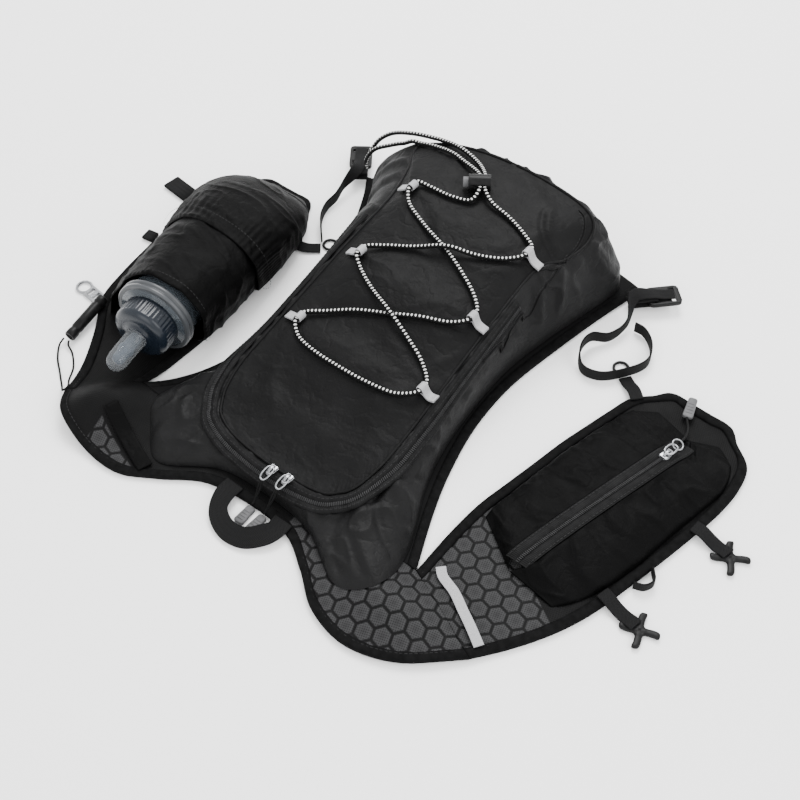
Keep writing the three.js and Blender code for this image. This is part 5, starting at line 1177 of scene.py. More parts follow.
def teeth(name, line, side, up, width, pitch, height):
    reach = reach_along(line)
    starts = np.arange(pitch / 2, reach[-1], pitch)
    at = lambda values: np.stack([np.interp(starts, reach, values[:, k]) for k in range(3)], 1)
    middles, sides, ups = at(line), unit(at(side)), unit(at(up))
    runs = np.cross(sides, ups)
    vertices, faces = [], []
    ring = section(pitch * 0.78, height, 6, 2.0)
    for k, (m, a, b, c) in enumerate(zip(middles, sides, ups, runs)):
        for end in (-0.5, -0.3, 0.3, 0.5):
            size = 1 if abs(end) < 0.4 else 0.55
            vertices += [m + a * end * width + c * p * size + b * q * size for p, q in ring]
        o = k * 24
        for row in range(3):
            for j in range(6):
                n = (j + 1) % 6
                faces.append((o + row * 6 + j, o + row * 6 + n, o + row * 6 + 6 + n, o + row * 6 + 6 + j))
        faces += [tuple(o + j for j in range(6))[::-1], tuple(o + 18 + j for j in range(6))]
    return outward(build(name, vertices, faces), True)


# Heights over the cloth as it is shown

def tree_of(*objs):
    vertices, faces = [], []
    for obj in objs:
        start = len(vertices)
        vertices += [tuple(v.co) for v in obj.data.vertices]
        faces += [[start + k for k in p.vertices] for p in obj.data.polygons]
    return BVHTree.FromPolygons(vertices, faces)


def height_on(tree, x, y):
    hit = tree.ray_cast(Vector((x, y, 0.5)), Vector((0, 0, -1)))
    return hit[0].z if hit[0] is not None else 0.0


def highest_near(tree, x, y, reach):
    steps = np.linspace(-reach, reach, 5)
    return max(height_on(tree, x + a, y + b) for a in steps for b in steps)


# The bungee, its tabs and its lock

TAB_EYE = BUNGEE_DIAMETER / 2 + 0.45 * MM
TAB_OUTER = TAB_EYE + TAB_WALL
TABS = {
    "l1": (-0.556, 0.535), "l2": (-0.5, 0.129), "l3": (-0.556, -0.253),
    "r1": (0.644, 0.518), "r2": (0.633, 0.129), "r3": (0.678, -0.247),
}
LOCK = {"across": -0.1, "along": 0.706, "turn": 0.61, "length": 17 * MM, "diameter": 13 * MM}
STRAND_MIDDLE = 2.1 * MM
STRAND_APART = BUNGEE_DIAMETER + 0.7 * MM

# The elastic's route: a place (across, along) with its height over the floor (z) or over the cloth (lift), in
# millimetres, or a pass through a tab's eye or the lock, so many millimetres (step) along it
BUNGEE_ROUTE = (
    ("z", -1.456, 0.782, 24), ("z", -1.444, 0.782, 34), ("z", -1.367, 0.794, 46), ("z", -1.244, 0.818, 53),
    ("z", -1.089, 0.841, 60), ("z", -0.867, 0.847, 67), ("lift", -0.622, 0.835, 3.2),
    ("lift", -0.378, 0.8, 2.9), ("lock", -1, 8), ("lock", -1, 0), ("lock", -1, -8),
    ("lift", -0.056, 0.612, 2.9), ("lift", -0.222, 0.582, 2.35), ("lift", -0.411, 0.579, 2.35),
    ("l1", 5), ("l1", 0), ("l1", -5), ("lift", -0.478, 0.453, 2.35), ("lift", -0.222, 0.388, 2.35),
    ("lift", 0.089, 0.329, 2.35), ("lift", 0.333, 0.271, 2.7), ("lift", 0.533, 0.212, 2.8),
    ("r2", 5), ("r2", 0), ("r2", -5), ("lift", 0.522, 0.053, 2.8), ("lift", 0.289, 0, 2.8),
    ("lift", 0.056, -0.053, 2.35), ("lift", -0.189, -0.106, 2.9), ("lift", -0.411, -0.171, 2.9),
    ("l3", 5), ("l3", 0), ("l3", -5), ("lift", -0.456, -0.329, 2.35), ("lift", -0.267, -0.353, 2.35),
    ("lift", 0, -0.359, 2.35), ("lift", 0.278, -0.353, 2.35), ("lift", 0.533, -0.329, 2.35),
    ("r3", -5), ("r3", 0), ("r3", 5), ("lift", 0.544, -0.153, 2.35), ("lift", 0.322, -0.1, 2.9),
    ("lift", 0.056, -0.053, 6.6), ("lift", -0.189, 0, 2.9), ("lift", -0.4, 0.059, 2.35),
    ("l2", -5), ("l2", 0), ("l2", 5), ("lift", -0.378, 0.212, 2.35), ("lift", -0.156, 0.271, 2.9),
    ("lift", 0.089, 0.329, 6.6), ("lift", 0.333, 0.376, 2.9), ("lift", 0.533, 0.435, 2.35),
    ("r1", -5), ("r1", 0), ("r1", 5), ("lift", 0.511, 0.588, 2.35), ("lift", 0.3, 0.629, 2.35),
    ("lift", 0.111, 0.647, 3.85), ("lock", 1, -8), ("lock", 1, 0), ("lock", 1, 8),
    ("lift", -0.289, 0.835, 2.9), ("lift", -0.556, 0.882, 4), ("z", -0.844, 0.9, 70),
    ("z", -1.089, 0.888, 65),
    ("z", -1.289, 0.876, 57), ("z", -1.4, 0.853, 48), ("z", -1.467, 0.824, 36),
)


def node_middle(name):
    low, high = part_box(name)
    return (np.array(low) + np.array(high)) / 2


def tab_eye(name, skin):
    across, along = TABS[name]
    x, y = across * BAG_HALF_WIDTH, along * BAG_HALF_LENGTH
    under = max(height_on(skin, x + i * TAB_OUTER, y + j * TAB_WIDTH / 2)
                for i in (-0.8, 0, 0.8) for j in (-1, 0, 1))
    return np.array([x, y, under + TAB_OUTER + GAP])


def lock_middle():
    """The lock's place, from the CAD barrel and its height there."""
    low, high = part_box("cord_lock")
    x, y = LOCK["across"] * BAG_HALF_WIDTH, LOCK["along"] * BAG_HALF_LENGTH
    return np.array([x, y, (low.z + high.z) / 2])


def bungee_points(skin):
    axis = heading(LOCK["turn"])
    run = beside(axis)
    points = []
    for kind, *values in BUNGEE_ROUTE:
        if kind == "lock":
            strand, step = values
            points.append(lock_middle() + axis * (STRAND_MIDDLE + strand * STRAND_APART / 2)
                          + run * step * MM)
        elif kind in TABS:
            points.append(tab_eye(kind, skin) + np.array([0, values[0] * MM, 0]))
        else:
            across, along, height = values
            x, y = across * BAG_HALF_WIDTH, along * BAG_HALF_LENGTH
            base = height_on(skin, x, y) if kind == "lift" else 0.0
            points.append(np.array([x, y, base + height * MM]))
    return points


def bungee(skin):
    line = smooth(bungee_points(skin), 14)
    floor = np.array([height_on(skin, x, y) + BUNGEE_DIAMETER / 2 + 0.15 * MM for x, y in line[:, :2]])
    near = np.array([floor[max(0, i - 2):i + 3].max() for i in range(len(floor))])
    line[:, 2] = np.where(line[:, 2] < near + 8 * MM, np.maximum(line[:, 2], near), line[:, 2])
    for _ in range(3):
        line[1:-1, 2] = (line[:-2, 2] + line[2:, 2] + 2 * line[1:-1, 2]) / 4
    run = along_points(line)
    level = unit(np.stack([run[:, 1], -run[:, 0], 0 * run[:, 0]], 1))
    ring = section(BUNGEE_DIAMETER, BUNGEE_DIAMETER, 12, 2.0)
    piece = sweep("bungee", line, level, np.cross(level, run), ring)
    finish_piece(piece, BUNGEE, ["bungee_cord"])


def bungee_tab(name, skin):
    """A reflective tape folded round the elastic, its two ends stitched flat on the cloth."""
    eye = tab_eye(name, skin)
    side = 1 if name[0] == "r" else -1
    radius = TAB_EYE + TAB_WALL / 2
    ends = [TAB_OUTER + TAB_TAIL, TAB_OUTER + TAB_TAIL * 0.5, TAB_OUTER + 1.5 * MM]
    low = []
    for reach in ends:
        x = eye[0] + side * reach
        top = max(height_on(skin, x, eye[1] + j * TAB_WIDTH) for j in (-0.4, 0, 0.4))
        low.append(np.array([x, eye[1], top + 0.8 * MM]))
    angles = np.linspace(-0.8, 0.8 - 2 * math.pi, 18)
    loop = [eye + radius * np.array([side * math.cos(a), 0, math.sin(a)]) for a in angles]
    upper = [p + np.array([0, 0, 1.05 * MM]) for p in low[::-1]]
    line = smooth(np.array(low + loop + upper), 3)
    across = np.tile([0, 1.0, 0], (len(line), 1))
    rise = np.cross(across, along_points(line))
    band = sweep(f"tab_{name}", line, across, unit(rise), section(TAB_WIDTH, 0.8 * MM, 14, 5.0))
    finish_piece(band, REFLECTIVE, [f"bungee_tab_{name}"])


def cord_lock():
    barrel = softened("lock_barrel", "cord_lock", 0.5 * MM, 3, 50)
    finish_piece(barrel, PLASTIC, ["cord_lock"])
    button = softened("lock_button", "cord_lock_button", 0.5 * MM, 3, 50)
    finish_piece(button, GREY_PLASTIC, ["cord_lock_button"], "lock_button")


# Webbing and cords

def webbing_grid(rows, place, width, thickness, steps=10):
    rows = table("across along rise lean", *rows)
    points = place(rows["across"], rows["along"])
    points[:, 2] += rows["rise"] * WEBBING_WIDTH
    line = smooth(points, steps)
    run = along_points(line * np.array([1, 1, 0]))
    level = np.stack([run[:, 1], -run[:, 0], 0 * run[:, 0]], 1)
    lean = column(rows, "lean", np.linspace(0, 1, len(line)))[:, None] * math.pi / 2
    across = unit(level * np.cos(lean) + np.array([0, 0, 1.0]) * np.sin(lean))
    rise = unit(np.cross(across, along_points(line)))
    return line, across, rise, section(width, thickness, 18, 6.0)


def webbing(name, rows, place, width=WEBBING_WIDTH, thickness=WEBBING_THICKNESS, finish=None,
            node=None):
    piece = sweep(name, *webbing_grid(rows, place, width, thickness))
    return finish_piece(piece, finish or WEBBING, [node or name] if node is not False else ())


def on_right(across, along):
    return on_strap("right", across, along)


def on_left(across, along):
    return on_strap("left", across, along)


def on_shoulder(across, along):
    point = on_right(across, along)
    point[:, 2] += lie(point[:, 0], point[:, 1])
    return point


def on_lie(across, along):
    point = on_back(across, along)
    point[:, 2] = lie(point[:, 0], point[:, 1])
    return point


def straps_and_loops():
    webbing("haul_webbing", (
        (-0.1, -0.959, 0.42, 0), (-0.1, -1.024, 0.433, -0.03), (-0.022, -1.106, 0.5, -0.3),
        (0.133, -1.147, 0.453, -0.4), (0.289, -1.135, 0.467, -0.4), (0.389, -1.082, 0.52, -0.3),
        (0.422, -1.029, 0.433, -0.03), (0.422, -0.976, 0.433, 0)), on_back, node="haul_loop")
    webbing("adjuster_webbing_right", (
        (1.556, 1.035, 0.8, 0), (1.489, 1, 0.84, 0), (1.411, 0.959, 0.973, 0), (1.322, 0.888, 1.133, 0.4),
        (1.4, 0.765, 0.533, 1), (1.356, 0.659, 0.413, 1), (1.256, 0.588, 0.72, 1), (1.256, 0.506, 0.72, 1),
        (1.356, 0.435, 0.387, 1), (1.511, 0.441, 0.373, 1), (1.667, 0.529, 0.373, 1),
        (1.756, 0.635, 0.373, 1),
        (1.689, 0.729, 0.373, 1), (1.556, 0.782, 0.4, 1), (1.467, 0.782, 0.427, 1)), on_back, NARROW_WEBBING,
        node="adjuster_right")
    webbing("adjuster_webbing_left", (
        (-1.756, 0.941, 0.8, 0), (-1.7, 0.9, 0.84, 0), (-1.633, 0.853, 0.973, 0), (-1.567, 0.782, 1.133, 0.4),
        (-1.578, 0.688, 0.733, 1), (-1.556, 0.612, 0.467, 1), (-1.556, 0.541, 0.373, 1),
        (-1.5, 0.465, 0.373, 1),
        (-1.411, 0.406, 0.373, 1), (-1.324, 0.356, 0.373, 1)), on_back, NARROW_WEBBING,
        node="adjuster_left")
    webbing("end_loop_right", ((0.369, 0.911, 0.42, 0), (0.302, 0.939, 0.373, 0), (0.235, 0.96, 0.173, 0),
            (0.183, 0.977, 0.107, 0)), on_right, NARROW_WEBBING, node="strap_end_loop_right")
    webbing("end_loop_left", ((0.112, 0.788, 0.2, 0), (0.032, 0.8, 0.147, 0), (-0.053, 0.83, 0.093, 0)),
            on_left, NARROW_WEBBING, node="strap_end_loop_left")
    webbing("shoulder_stripe", (
        (0.11, 0.05, 0.4, 0), (0.159, 0.03, 0.36, 0), (0.283, 0.009, 0.333, 0), (0.407, -0.025, 0.347, 0),
        (0.502, -0.051, 0.4, 0), (0.575, -0.072, 0.42, 0), (0.63, -0.088, 0.42, 0)),
        on_shoulder, TAB_WIDTH, 1.0 * MM, REFLECTIVE, "reflective_strip")
    webbing("shoulder_band_left", ((-1.31, -1.02, 0.40, 0), (-1.10, -1.06, 0.40, 0), (-0.90, -1.10, 0.40, 0),
            (-0.76, -1.125, 0.40, 0)), on_lie, 11 * MM, 1.2 * MM, POCKET_NYLON, node=False)
    rises = (0.44, 0.44, 0.26, 0.193, 0.3, 0.33)
    chest = {
        "upper": ((1.211, 0.609), (1.283, 0.606), (1.35, 0.603),
                  (1.416, 0.598), (1.46, 0.594), (1.492, 0.591)),
        "lower": ((1.012, 0.26), (1.064, 0.254), (1.13, 0.248), (1.197, 0.242), (1.26, 0.236), (1.3, 0.233)),
    }
    for name, run in chest.items():
        rows = [(across, along, rise, 0) for (across, along), rise in zip(run, rises)]
        webbing(f"chest_webbing_{name}", rows, on_right, NARROW_WEBBING, node=f"chest_strap_{name}")
        finish_piece(cross_hook(name), PLASTIC, [f"chest_hook_{name}"])
    webbing("keeper_webbing", ((1.132, 0.337, 0.307, 1), (1.197, 0.349, 0.307, 1), (1.226, 0.379, 0.307, 1),
            (1.17, 0.413, 0.307, 1)), on_right, TAB_WIDTH + MM, node="keeper_loop")
    for name, length, width in (("long", 28, WEBBING_WIDTH), ("short", 11, NARROW_WEBBING)):
        edge_loop(name, length * MM, width)


HOOK_TURNS = {"upper": 0.55, "lower": 0.35}


def cross_hook(name):
    """Two slim crossed bars with rounded, slightly raised ends and a round boss where they cross."""
    middle = node_middle(f"chest_hook_{name}")
    turn = HOOK_TURNS[name]
    parts = []
    for k in range(4):
        run = heading(turn + k * math.pi / 2)
        side = beside(run)
        line = smooth([middle + run * a * MM + side * b * MM + np.array([0, 0, c * MM])
                       for a, b, c in ((0.5, 0, 0), (5, 0.2, 0), (9.5, 0.1, 0.1), (13.6, -0.8, 0.3))], 8)
        wide = np.interp(np.linspace(0, 1, len(line)), [0, 0.3, 0.85, 0.96, 1], [1.3, 0.95, 1.0, 0.8, 0.35])
        ring = section(5.2 * MM, 3.2 * MM, 16, 3.0)
        across = np.tile(side, (len(line), 1))
        grid = line[:, None] + across[:, None] * (ring[None, :, :1] * wide[:, None, None])
        grid[..., 2] += ring[None, :, 1] * np.minimum(wide, 1)[:, None]
        parts.append(surface(f"hook_arm_{name}{k}", grid, around=True, ends=True))
    boss = lathe(f"hook_boss_{name}", in_mm(
        (2.6, -1.5), (3.8, -1.5), (4.2, -1.1), (4.2, 1.1), (3.8, 1.5), (2.4, 1.5), (2.2, 1.2)), 32,
        Matrix.Translation(Vector(middle)))
    return joined(f"cross_hook_{name}", *parts, boss)


EDGE_TURNS = {"long": -0.12, "short": 0.15}


def edge_loop(name, length, width):
    """A short webbing folded in two."""
    middle = node_middle(f"edge_loop_{name}")
    turn = EDGE_TURNS[name]
    half, fold = length / 2 - 1.2 * MM, WEBBING_THICKNESS / 2 + 0.05 * MM
    arc = [(-half - fold * math.sin(a), fold * math.cos(a)) for a in np.linspace(0, math.pi, 9)]
    flat = [(half, fold), (0, fold)] + arc + [(0, -fold), (half, -fold)]
    run = heading(turn)
    line = np.array([middle + run * a + np.array([0, 0, b]) for a, b in flat])
    across = np.tile(beside(run), (len(line), 1))
    piece = sweep(f"folded_tab_{name}", line, across, unit(np.cross(across, along_points(line))),
                  section(width, WEBBING_THICKNESS, 16, 6.0))
    finish_piece(piece, WEBBING, [f"edge_loop_{name}"])


BUCKLES = {"left": (-1.7, 0.9, 2.2, 17 * MM), "right": (1.489, 1.006, 0.8, 21 * MM)}
BUCKLE_LENGTH = 26 * MM
BUCKLE_WIDTH = 19 * MM
BUCKLE_THICKNESS = 3.5 * MM
BUCKLE_LIFT = WEBBING_WIDTH / 2 + 0.1 * MM


def ladder_locks():
    for side, (across, along, turn, reach) in BUCKLES.items():
        buckle = softened(f"ladder_buckle_{side}", f"ladder_lock_{side}", 0.8 * MM, 3, 40)
        finish_piece(buckle, PLASTIC, [f"ladder_lock_{side}"])
        slot = -0.27 * BUCKLE_LENGTH
        half = BUCKLE_THICKNESS / 2 + GAP + WEBBING_THICKNESS / 2
        middle = BUCKLE_THICKNESS / 2
        turns = np.linspace(0, math.pi, 11)
        arc = [(slot + half * 0.35 * math.sin(a), middle + half * math.cos(a)) for a in turns]
        flat = [(slot - reach, middle + half), (slot - reach / 2, middle + half)] + arc
        flat += [(slot - reach / 2, middle - half), (slot - reach, middle - half)]
        run = heading(turn)
        origin = on_back(across, along, BUCKLE_LIFT)
        line = smooth(np.array([origin + run * a + np.array([0, 0, b]) for a, b in flat]), 3)
        over = np.tile(beside(run), (len(line), 1))
        piece = sweep(f"corner_loop_{side}", line, over, unit(np.cross(over, along_points(line))),
                      section(BUCKLE_WIDTH - 6 * MM, WEBBING_THICKNESS, 16, 6.0))
        finish_piece(piece, WEBBING, [f"corner_webbing_{side}"])


RING_DIAMETER = 11 * MM
RING_WIRE = 2.2 * MM


def end_rings():
    for side in ("left", "right"):
        ring = ring_piece(f"end_ring_{side}", node_middle(f"strap_end_ring_{side}"), RING_DIAMETER, RING_WIRE)
        finish_piece(ring, PLASTIC, [f"strap_end_ring_{side}"])


# Zip sliders, their cords and pulls

def block(name, length, width, height, middle, turn=0.0, bevel=0.8 * MM, taper=1.0, corner=None, tilt=0.0):
    """A rounded block; taper narrows its +X end."""
    mesh = bmesh.new()
    bmesh.ops.create_cube(mesh, size=1)
    for vert in mesh.verts:
        share = taper if vert.co.x > 0 else 1
        vert.co = Vector((vert.co.x * length, vert.co.y * width * share, vert.co.z * height))
    if corner:
        upright = [e for e in mesh.edges if abs((e.verts[0].co - e.verts[1].co).normalized().z) > 0.9]
        bmesh.ops.bevel(mesh, geom=upright, offset=corner, segments=5, affect="EDGES", profile=0.5)
    flat = [e for e in mesh.edges if e.calc_face_angle(0) > 0.6]
    bmesh.ops.bevel(mesh, geom=flat, offset=bevel, segments=3, affect="EDGES", profile=0.5,
                    clamp_overlap=True)
    turned = Matrix.Rotation(turn, 4, "Z") @ Matrix.Rotation(tilt, 4, "Y")
    bmesh.ops.transform(mesh, matrix=Matrix.Translation(Vector(middle)) @ turned, verts=mesh.verts)
    return from_bmesh(name, mesh, 50)


def slider(name, node, turn, length, width, height):
    """A zip slider's body: two plates, a post between them and the bridge over them."""
    x, y, _ = node_middle(node)
    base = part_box(node)[0].z
    lower = block(name + "_base", length, width, height * 0.34, (x, y, base + height * 0.17), turn,
                  0.4 * MM, 0.62, 1.2 * MM)
    upper = block(name + "_top", length * 0.96, width * 0.94, height * 0.34, (x, y, base + height * 0.62),
                  turn, 0.4 * MM, 0.62, 1.2 * MM)
    run = heading(turn)
    arch = smooth([np.array([x, y, base + height * up]) + run * length * a
                   for a, up in ((-0.38, 0.75), (-0.3, 1.1), (0, 1.3), (0.26, 1.1), (0.36, 0.75))], 6)
    across = np.tile(beside(run), (len(arch), 1))
    bridge = sweep(name + "_bridge", arch, across, unit(np.cross(across, along_points(arch))),
                   section(2.0 * MM, 0.9 * MM, 12, 3.0))
    post = block(name + "_post", length * 0.3, width * 0.3, height * 0.5, (x, y, base + height * 0.4), turn,
                 0.2 * MM)
    return joined(name, lower, upper, bridge, post)


def wire_loop(name, start, end, width, wire, sag=0.6 * MM):
    """A bent wire from a place to another and back."""
    start, end = np.array(start), np.array(end)
    run = unit(end - start)
    side = unit(np.cross([0, 0, 1.0], run))
    length = np.linalg.norm(end - start)
    outline = [(0, 0.25), (0.15, 0.5), (0.8, 0.5), (1, 0.22),
               (1, -0.22), (0.8, -0.5), (0.15, -0.5), (0, -0.25)]
    points = [start + run * a * length + side * b * width + np.array([0, 0, sag * math.sin(math.pi * a)])
              for a, b in outline]
    line = smooth(np.array(points + points[:1]), 5)
    return tube(name, line, wire, 10)


def neck_sliders(skin):
    for name, turn in (("a", 1.6), ("b", 1.55)):
        body = slider(f"slider_{name}_body", f"zip_slider_{name}", -math.pi / 2, 9 * MM, 6.5 * MM, 3.2 * MM)
        x, y, z = node_middle(f"zip_slider_{name}")
        loop = wire_loop(f"slider_{name}_wire", (x, y + 1 * MM, z + 2.3 * MM), (x, y - 10 * MM, z + 0.6 * MM),
                         5.2 * MM, 1.3 * MM)
        finish_piece(joined(f"slider_{name}", body, loop), METAL, [f"zip_slider_{name}"])
        pull_end = node_middle(f"zip_pull_{name}") + np.array([-3.5, 6.5, 0]) * MM
        pull_end[2] = max(
            pull_end[2], highest_near(skin, pull_end[0], pull_end[1] + 5 * MM, 2 * MM) + 1.2 * MM)
        start = np.array([x, y - 9.3 * MM, z + 0.7 * MM])
        knot = pull_end + np.array([0, 8 * MM, 0.8 * MM])
        strands = []
        for k, shift in enumerate((-0.9, 0.9)):
            points = []
            for t in np.linspace(0, 1, 6):
                p = start + (knot - start) * t
                lift = highest_near(skin, p[0], p[1], 1.2 * MM) + 1.0 * MM
                points.append([
                    p[0] + shift * MM * math.sin(math.pi * min(t * 1.4, 1)), p[1], max(p[2], lift)])
            strands.append(tube(f"pull_strand_{name}{k}", smooth(points, 6), 1.3 * MM, 10))
        finish_piece(joined(f"pull_strands_{name}", *strands), CORD, [f"zip_cord_{name}"])
        moulded = pull_shape(f"moulded_pull_{name}", pull_end, turn, 16 * MM, 8 * MM, 3 * MM)
        finish_piece(moulded, GREY_PLASTIC, [f"zip_pull_{name}"])


def pull_shape(name, middle, turn, length, width, height):
    """A moulded pull with grip ribs."""
    parts = [block(name + "_core", length, width, height, middle, turn, 0.9 * MM, 0.82, 1.9 * MM)]
    run = heading(turn)
    for k in range(4):
        place = np.array(middle) + run * (k - 1.9) * length * 0.15 + np.array([0, 0, height * 0.5])
        parts.append(block(f"{name}_rib{k}", 0.9 * MM, width * 0.6, 0.7 * MM, place, turn, 0.25 * MM))
    return joined(name, *parts)


# The left strap's pockets and flask

POCKET_HEIGHT = 2 * COLLAR_RADIUS
SHELL_BASE = STRAP_PAD + GAP
ARCH_SECTION = table(
    "foot wide outer up",
    (1, 0, 0, 0), (0.93, 0.07, 0, 0.08), (0.15, 0.85, 0, 0.16), (0, 1, 0, 0.42), (0, 0.93, 0, 0.72),
    (0, 0.55, 0, 0.95), (0, 0, 0.08, 1), (0, 0, 0.45, 0.88), (0, 0, 0.75, 0.56), (0, 0, 0.93, 0.22),
    (0, 0, 1, 0),
)
POUCH_SECTION = table(
    "foot wide outer up",
    (1, 0, 0, 0), (0.6, 0.4, 0, 0.03), (0, 0.97, 0, 0.14), (0, 1, 0, 0.42), (0, 0.93, 0, 0.72),
    (0, 0.55, 0, 0.95), (0, 0, 0.08, 1), (0, 0, 0.45, 0.88), (0, 0, 0.75, 0.58), (0, 0, 0.94, 0.25),
    (0, 0, 1, 0),
)
POCKET_ROWS = table(
    "along foot wide crest outer top",
    (0.213, 0.095, -0.11, 0.213, 0.718, 1.065), (0.345, 0.109, -0.101, 0.27, 0.842, 1.024),
    (0.494, 0.151, -0.053, 0.337, 0.899, 0.919), (0.643, 0.194, 0.013, 0.404, 0.956, 0.806),
    (0.762, 0.209, 0.08, 0.461, 0.966, 0.645), (0.843, 0.27, 0.223, 0.518, 0.89, 0.387),
    (0.89, 0.356, 0.337, 0.566, 0.804, 0.129),
)
POUCH_ROWS = table(
    "along foot wide crest outer top",
    (0.515, 0.099, -0.11, 0.337, 0.966, 0.984), (0.643, 0.142, -0.044, 0.404, 1.042, 0.887),
    (0.749, 0.156, 0.013, 0.461, 1.07, 0.758), (0.843, 0.194, 0.099, 0.509, 0.994, 0.565),
    (0.907, 0.27, 0.223, 0.547, 0.87, 0.339), (0.954, 0.375, 0.347, 0.556, 0.737, 0.145),
)
FLASK_TURN = 0.19


def shell_grid(rows, parts, base, counts, mouth_slant=0.0):
    u = np.linspace(0, 1, counts[0])[:, None]
    t = np.linspace(0, 1, counts[1])[None]
    row = {name: column(rows, name, u) for name in rows}
    part = {name: column(parts, name, t) for name in parts}
    across = row["crest"] + sum(part[name] * (row[name] - row["crest"]) for name in ("foot", "wide", "outer"))
    height = base + part["up"] * (row["top"] * POCKET_HEIGHT - base)
    grid = on_left(across, row["along"] + 0 * across)
    grid[..., 2] = np.maximum(height, base)
    crest = on_left(row["crest"], row["along"])[..., 0]
    grid[..., 1] += mouth_slant * (grid[..., 0] - crest) * np.clip(1 - u * (len(rows["along"]) - 1), 0, 1)
    return grid, u, t


def cloth_shell(name, node, grid, shift, finish, wall=1.3 * MM):
    out = grid_normals(grid)
    if out[..., 2].mean() < 0:
        out = -out
    front = grid + out * shift[..., None]
    back = grid + out * (shift - wall)[..., None]
    back[..., 2] = np.maximum(back[..., 2], STRAP_PAD + 0.1 * MM)
    front[..., 2] = np.maximum(front[..., 2], STRAP_PAD + 0.2 * MM)
    piece = slab(name, front, back)
    return finish_piece(piece, finish, [node])


def lumps_on(grid, large, small):
    """Slack cloth: broad swells, with thin long creases that run across them."""
    warped = grid + 9 * MM * stack(wobble(grid, 34 * MM, 40.0), wobble(grid, 34 * MM, 50.0), 0.0)
    long = warped @ np.array([[0.35, 0.1, 0], [0.1, 1.0, 0], [0, 0, 0.5]])
    ridges = np.clip(1 - np.abs(wobble(long, 13 * MM, 31.0)) * 3.4, 0, 1) ** 2
    return large * wobble(grid, 36 * MM, 2.0) + small * wobble(long, 10 * MM, 6.0) + large * 0.8 * ridges


def mouth_slump(u, t):
    """The pocket's mouth sags in and out between the places that hold it."""
    waves = np.sin(t * 2 * math.pi * 3.5 + 0.6) + 0.6 * np.sin(t * 2 * math.pi * 8 + 2.0)
    return 1.1 * MM * waves * np.exp(-(u / 0.12) ** 2) * inside(t, 0.12)


def left_pockets():
    grid, u, t = shell_grid(POCKET_ROWS, ARCH_SECTION, SHELL_BASE, (110, 150), FLASK_TURN)
    clear = np.clip(u / 0.05, 0, 1) * inside(t, 0.05)
    slack = clear * lumps_on(grid, 1.6 * MM, 0.5 * MM) + mouth_slump(u, t)
    hem = 0.8 * MM * np.exp(-((u - 0.015) / 0.014) ** 2) * (0.8 + 0.5 * np.sin(t * 2 * math.pi * 42))
    cloth_shell("flask_pocket_cloth", "flask_pocket", grid, slack + hem, POCKET_NYLON)
    grid, u, t = shell_grid(POUCH_ROWS, POUCH_SECTION, BINDING_HEIGHT + GAP, (120, 220))
    clear = np.clip(u / 0.03, 0, 1) * inside(t, 0.04)
    fan = np.sin(t * 2 * math.pi * 44 + 5.0 * np.sin(t * 23) + 5 * u) * np.exp(-u / 0.13)
    hem = 0.5 * MM * np.exp(-((u - 0.03) / 0.03) ** 2) - 3.6 * MM * np.exp(-(u / 0.14) ** 2) * inside(t, 0.12)
    ridge = 0.75 * MM * inside(t, 0.04) * fan
    shift = ridge * (0.35 + 0.65 * np.clip((u - 0.05) / 0.05, 0, 1)) + hem
    shift = shift + clear * lumps_on(grid, 1.2 * MM, 0.4 * MM)
    cloth_shell("pouch_cloth", "upper_pouch", grid, np.clip(shift, -4.4 * MM, 3 * MM), POCKET_NYLON)


def hem_stitches():
    for name, rows, parts, base, u0, slant in (
            ("flask_hem", POCKET_ROWS, ARCH_SECTION, SHELL_BASE, 0.05, FLASK_TURN),
            ("pouch_hem", POUCH_ROWS, POUCH_SECTION, BINDING_HEIGHT + GAP, 0.075, 0.0)):
        grid, _, _ = shell_grid(rows, parts, base, (120, 150), slant)
        out = grid_normals(grid)
        row = int(u0 * 119)
        line = grid[row, 6:-6] + out[row, 6:-6] * (1.6 * MM if out[..., 2].mean() > 0 else -1.6 * MM)
        stitches(name + "_stitches", line, np.abs(out[row, 6:-6]))


FLASK_ROWS = table(
    "along across up sink",
    (-0.1, 0.66, 0.66, 0), (-0.035, 0.66, 0.66, 0), (-0.032, 1.1, 1.1, 0), (0.03, 1.1, 1.1, 0),
    (0.033, 0.94, 0.94, 0), (0.08, 0.98, 0.98, 0), (0.38, 0.98, 0.88, 0.1), (0.68, 0.97, 0.7, 0.27),
    (0.92, 0.85, 0.5, 0.45), (1.03, 0.55, 0.24, 0.62),
)


def flask_matrix():
    """The flask's frame: its own +Z runs into the pocket."""
    middle = on_left(np.array([0.213]), np.array([0.179]))[0]
    middle[2] += SHELL_BASE + GAP + COLLAR_RADIUS
    turned = Matrix.Rotation(FLASK_TURN, 4, "Z") @ Matrix.Rotation(-math.pi / 2, 4, "X")
    return Matrix.Translation(Vector(middle)) @ turned


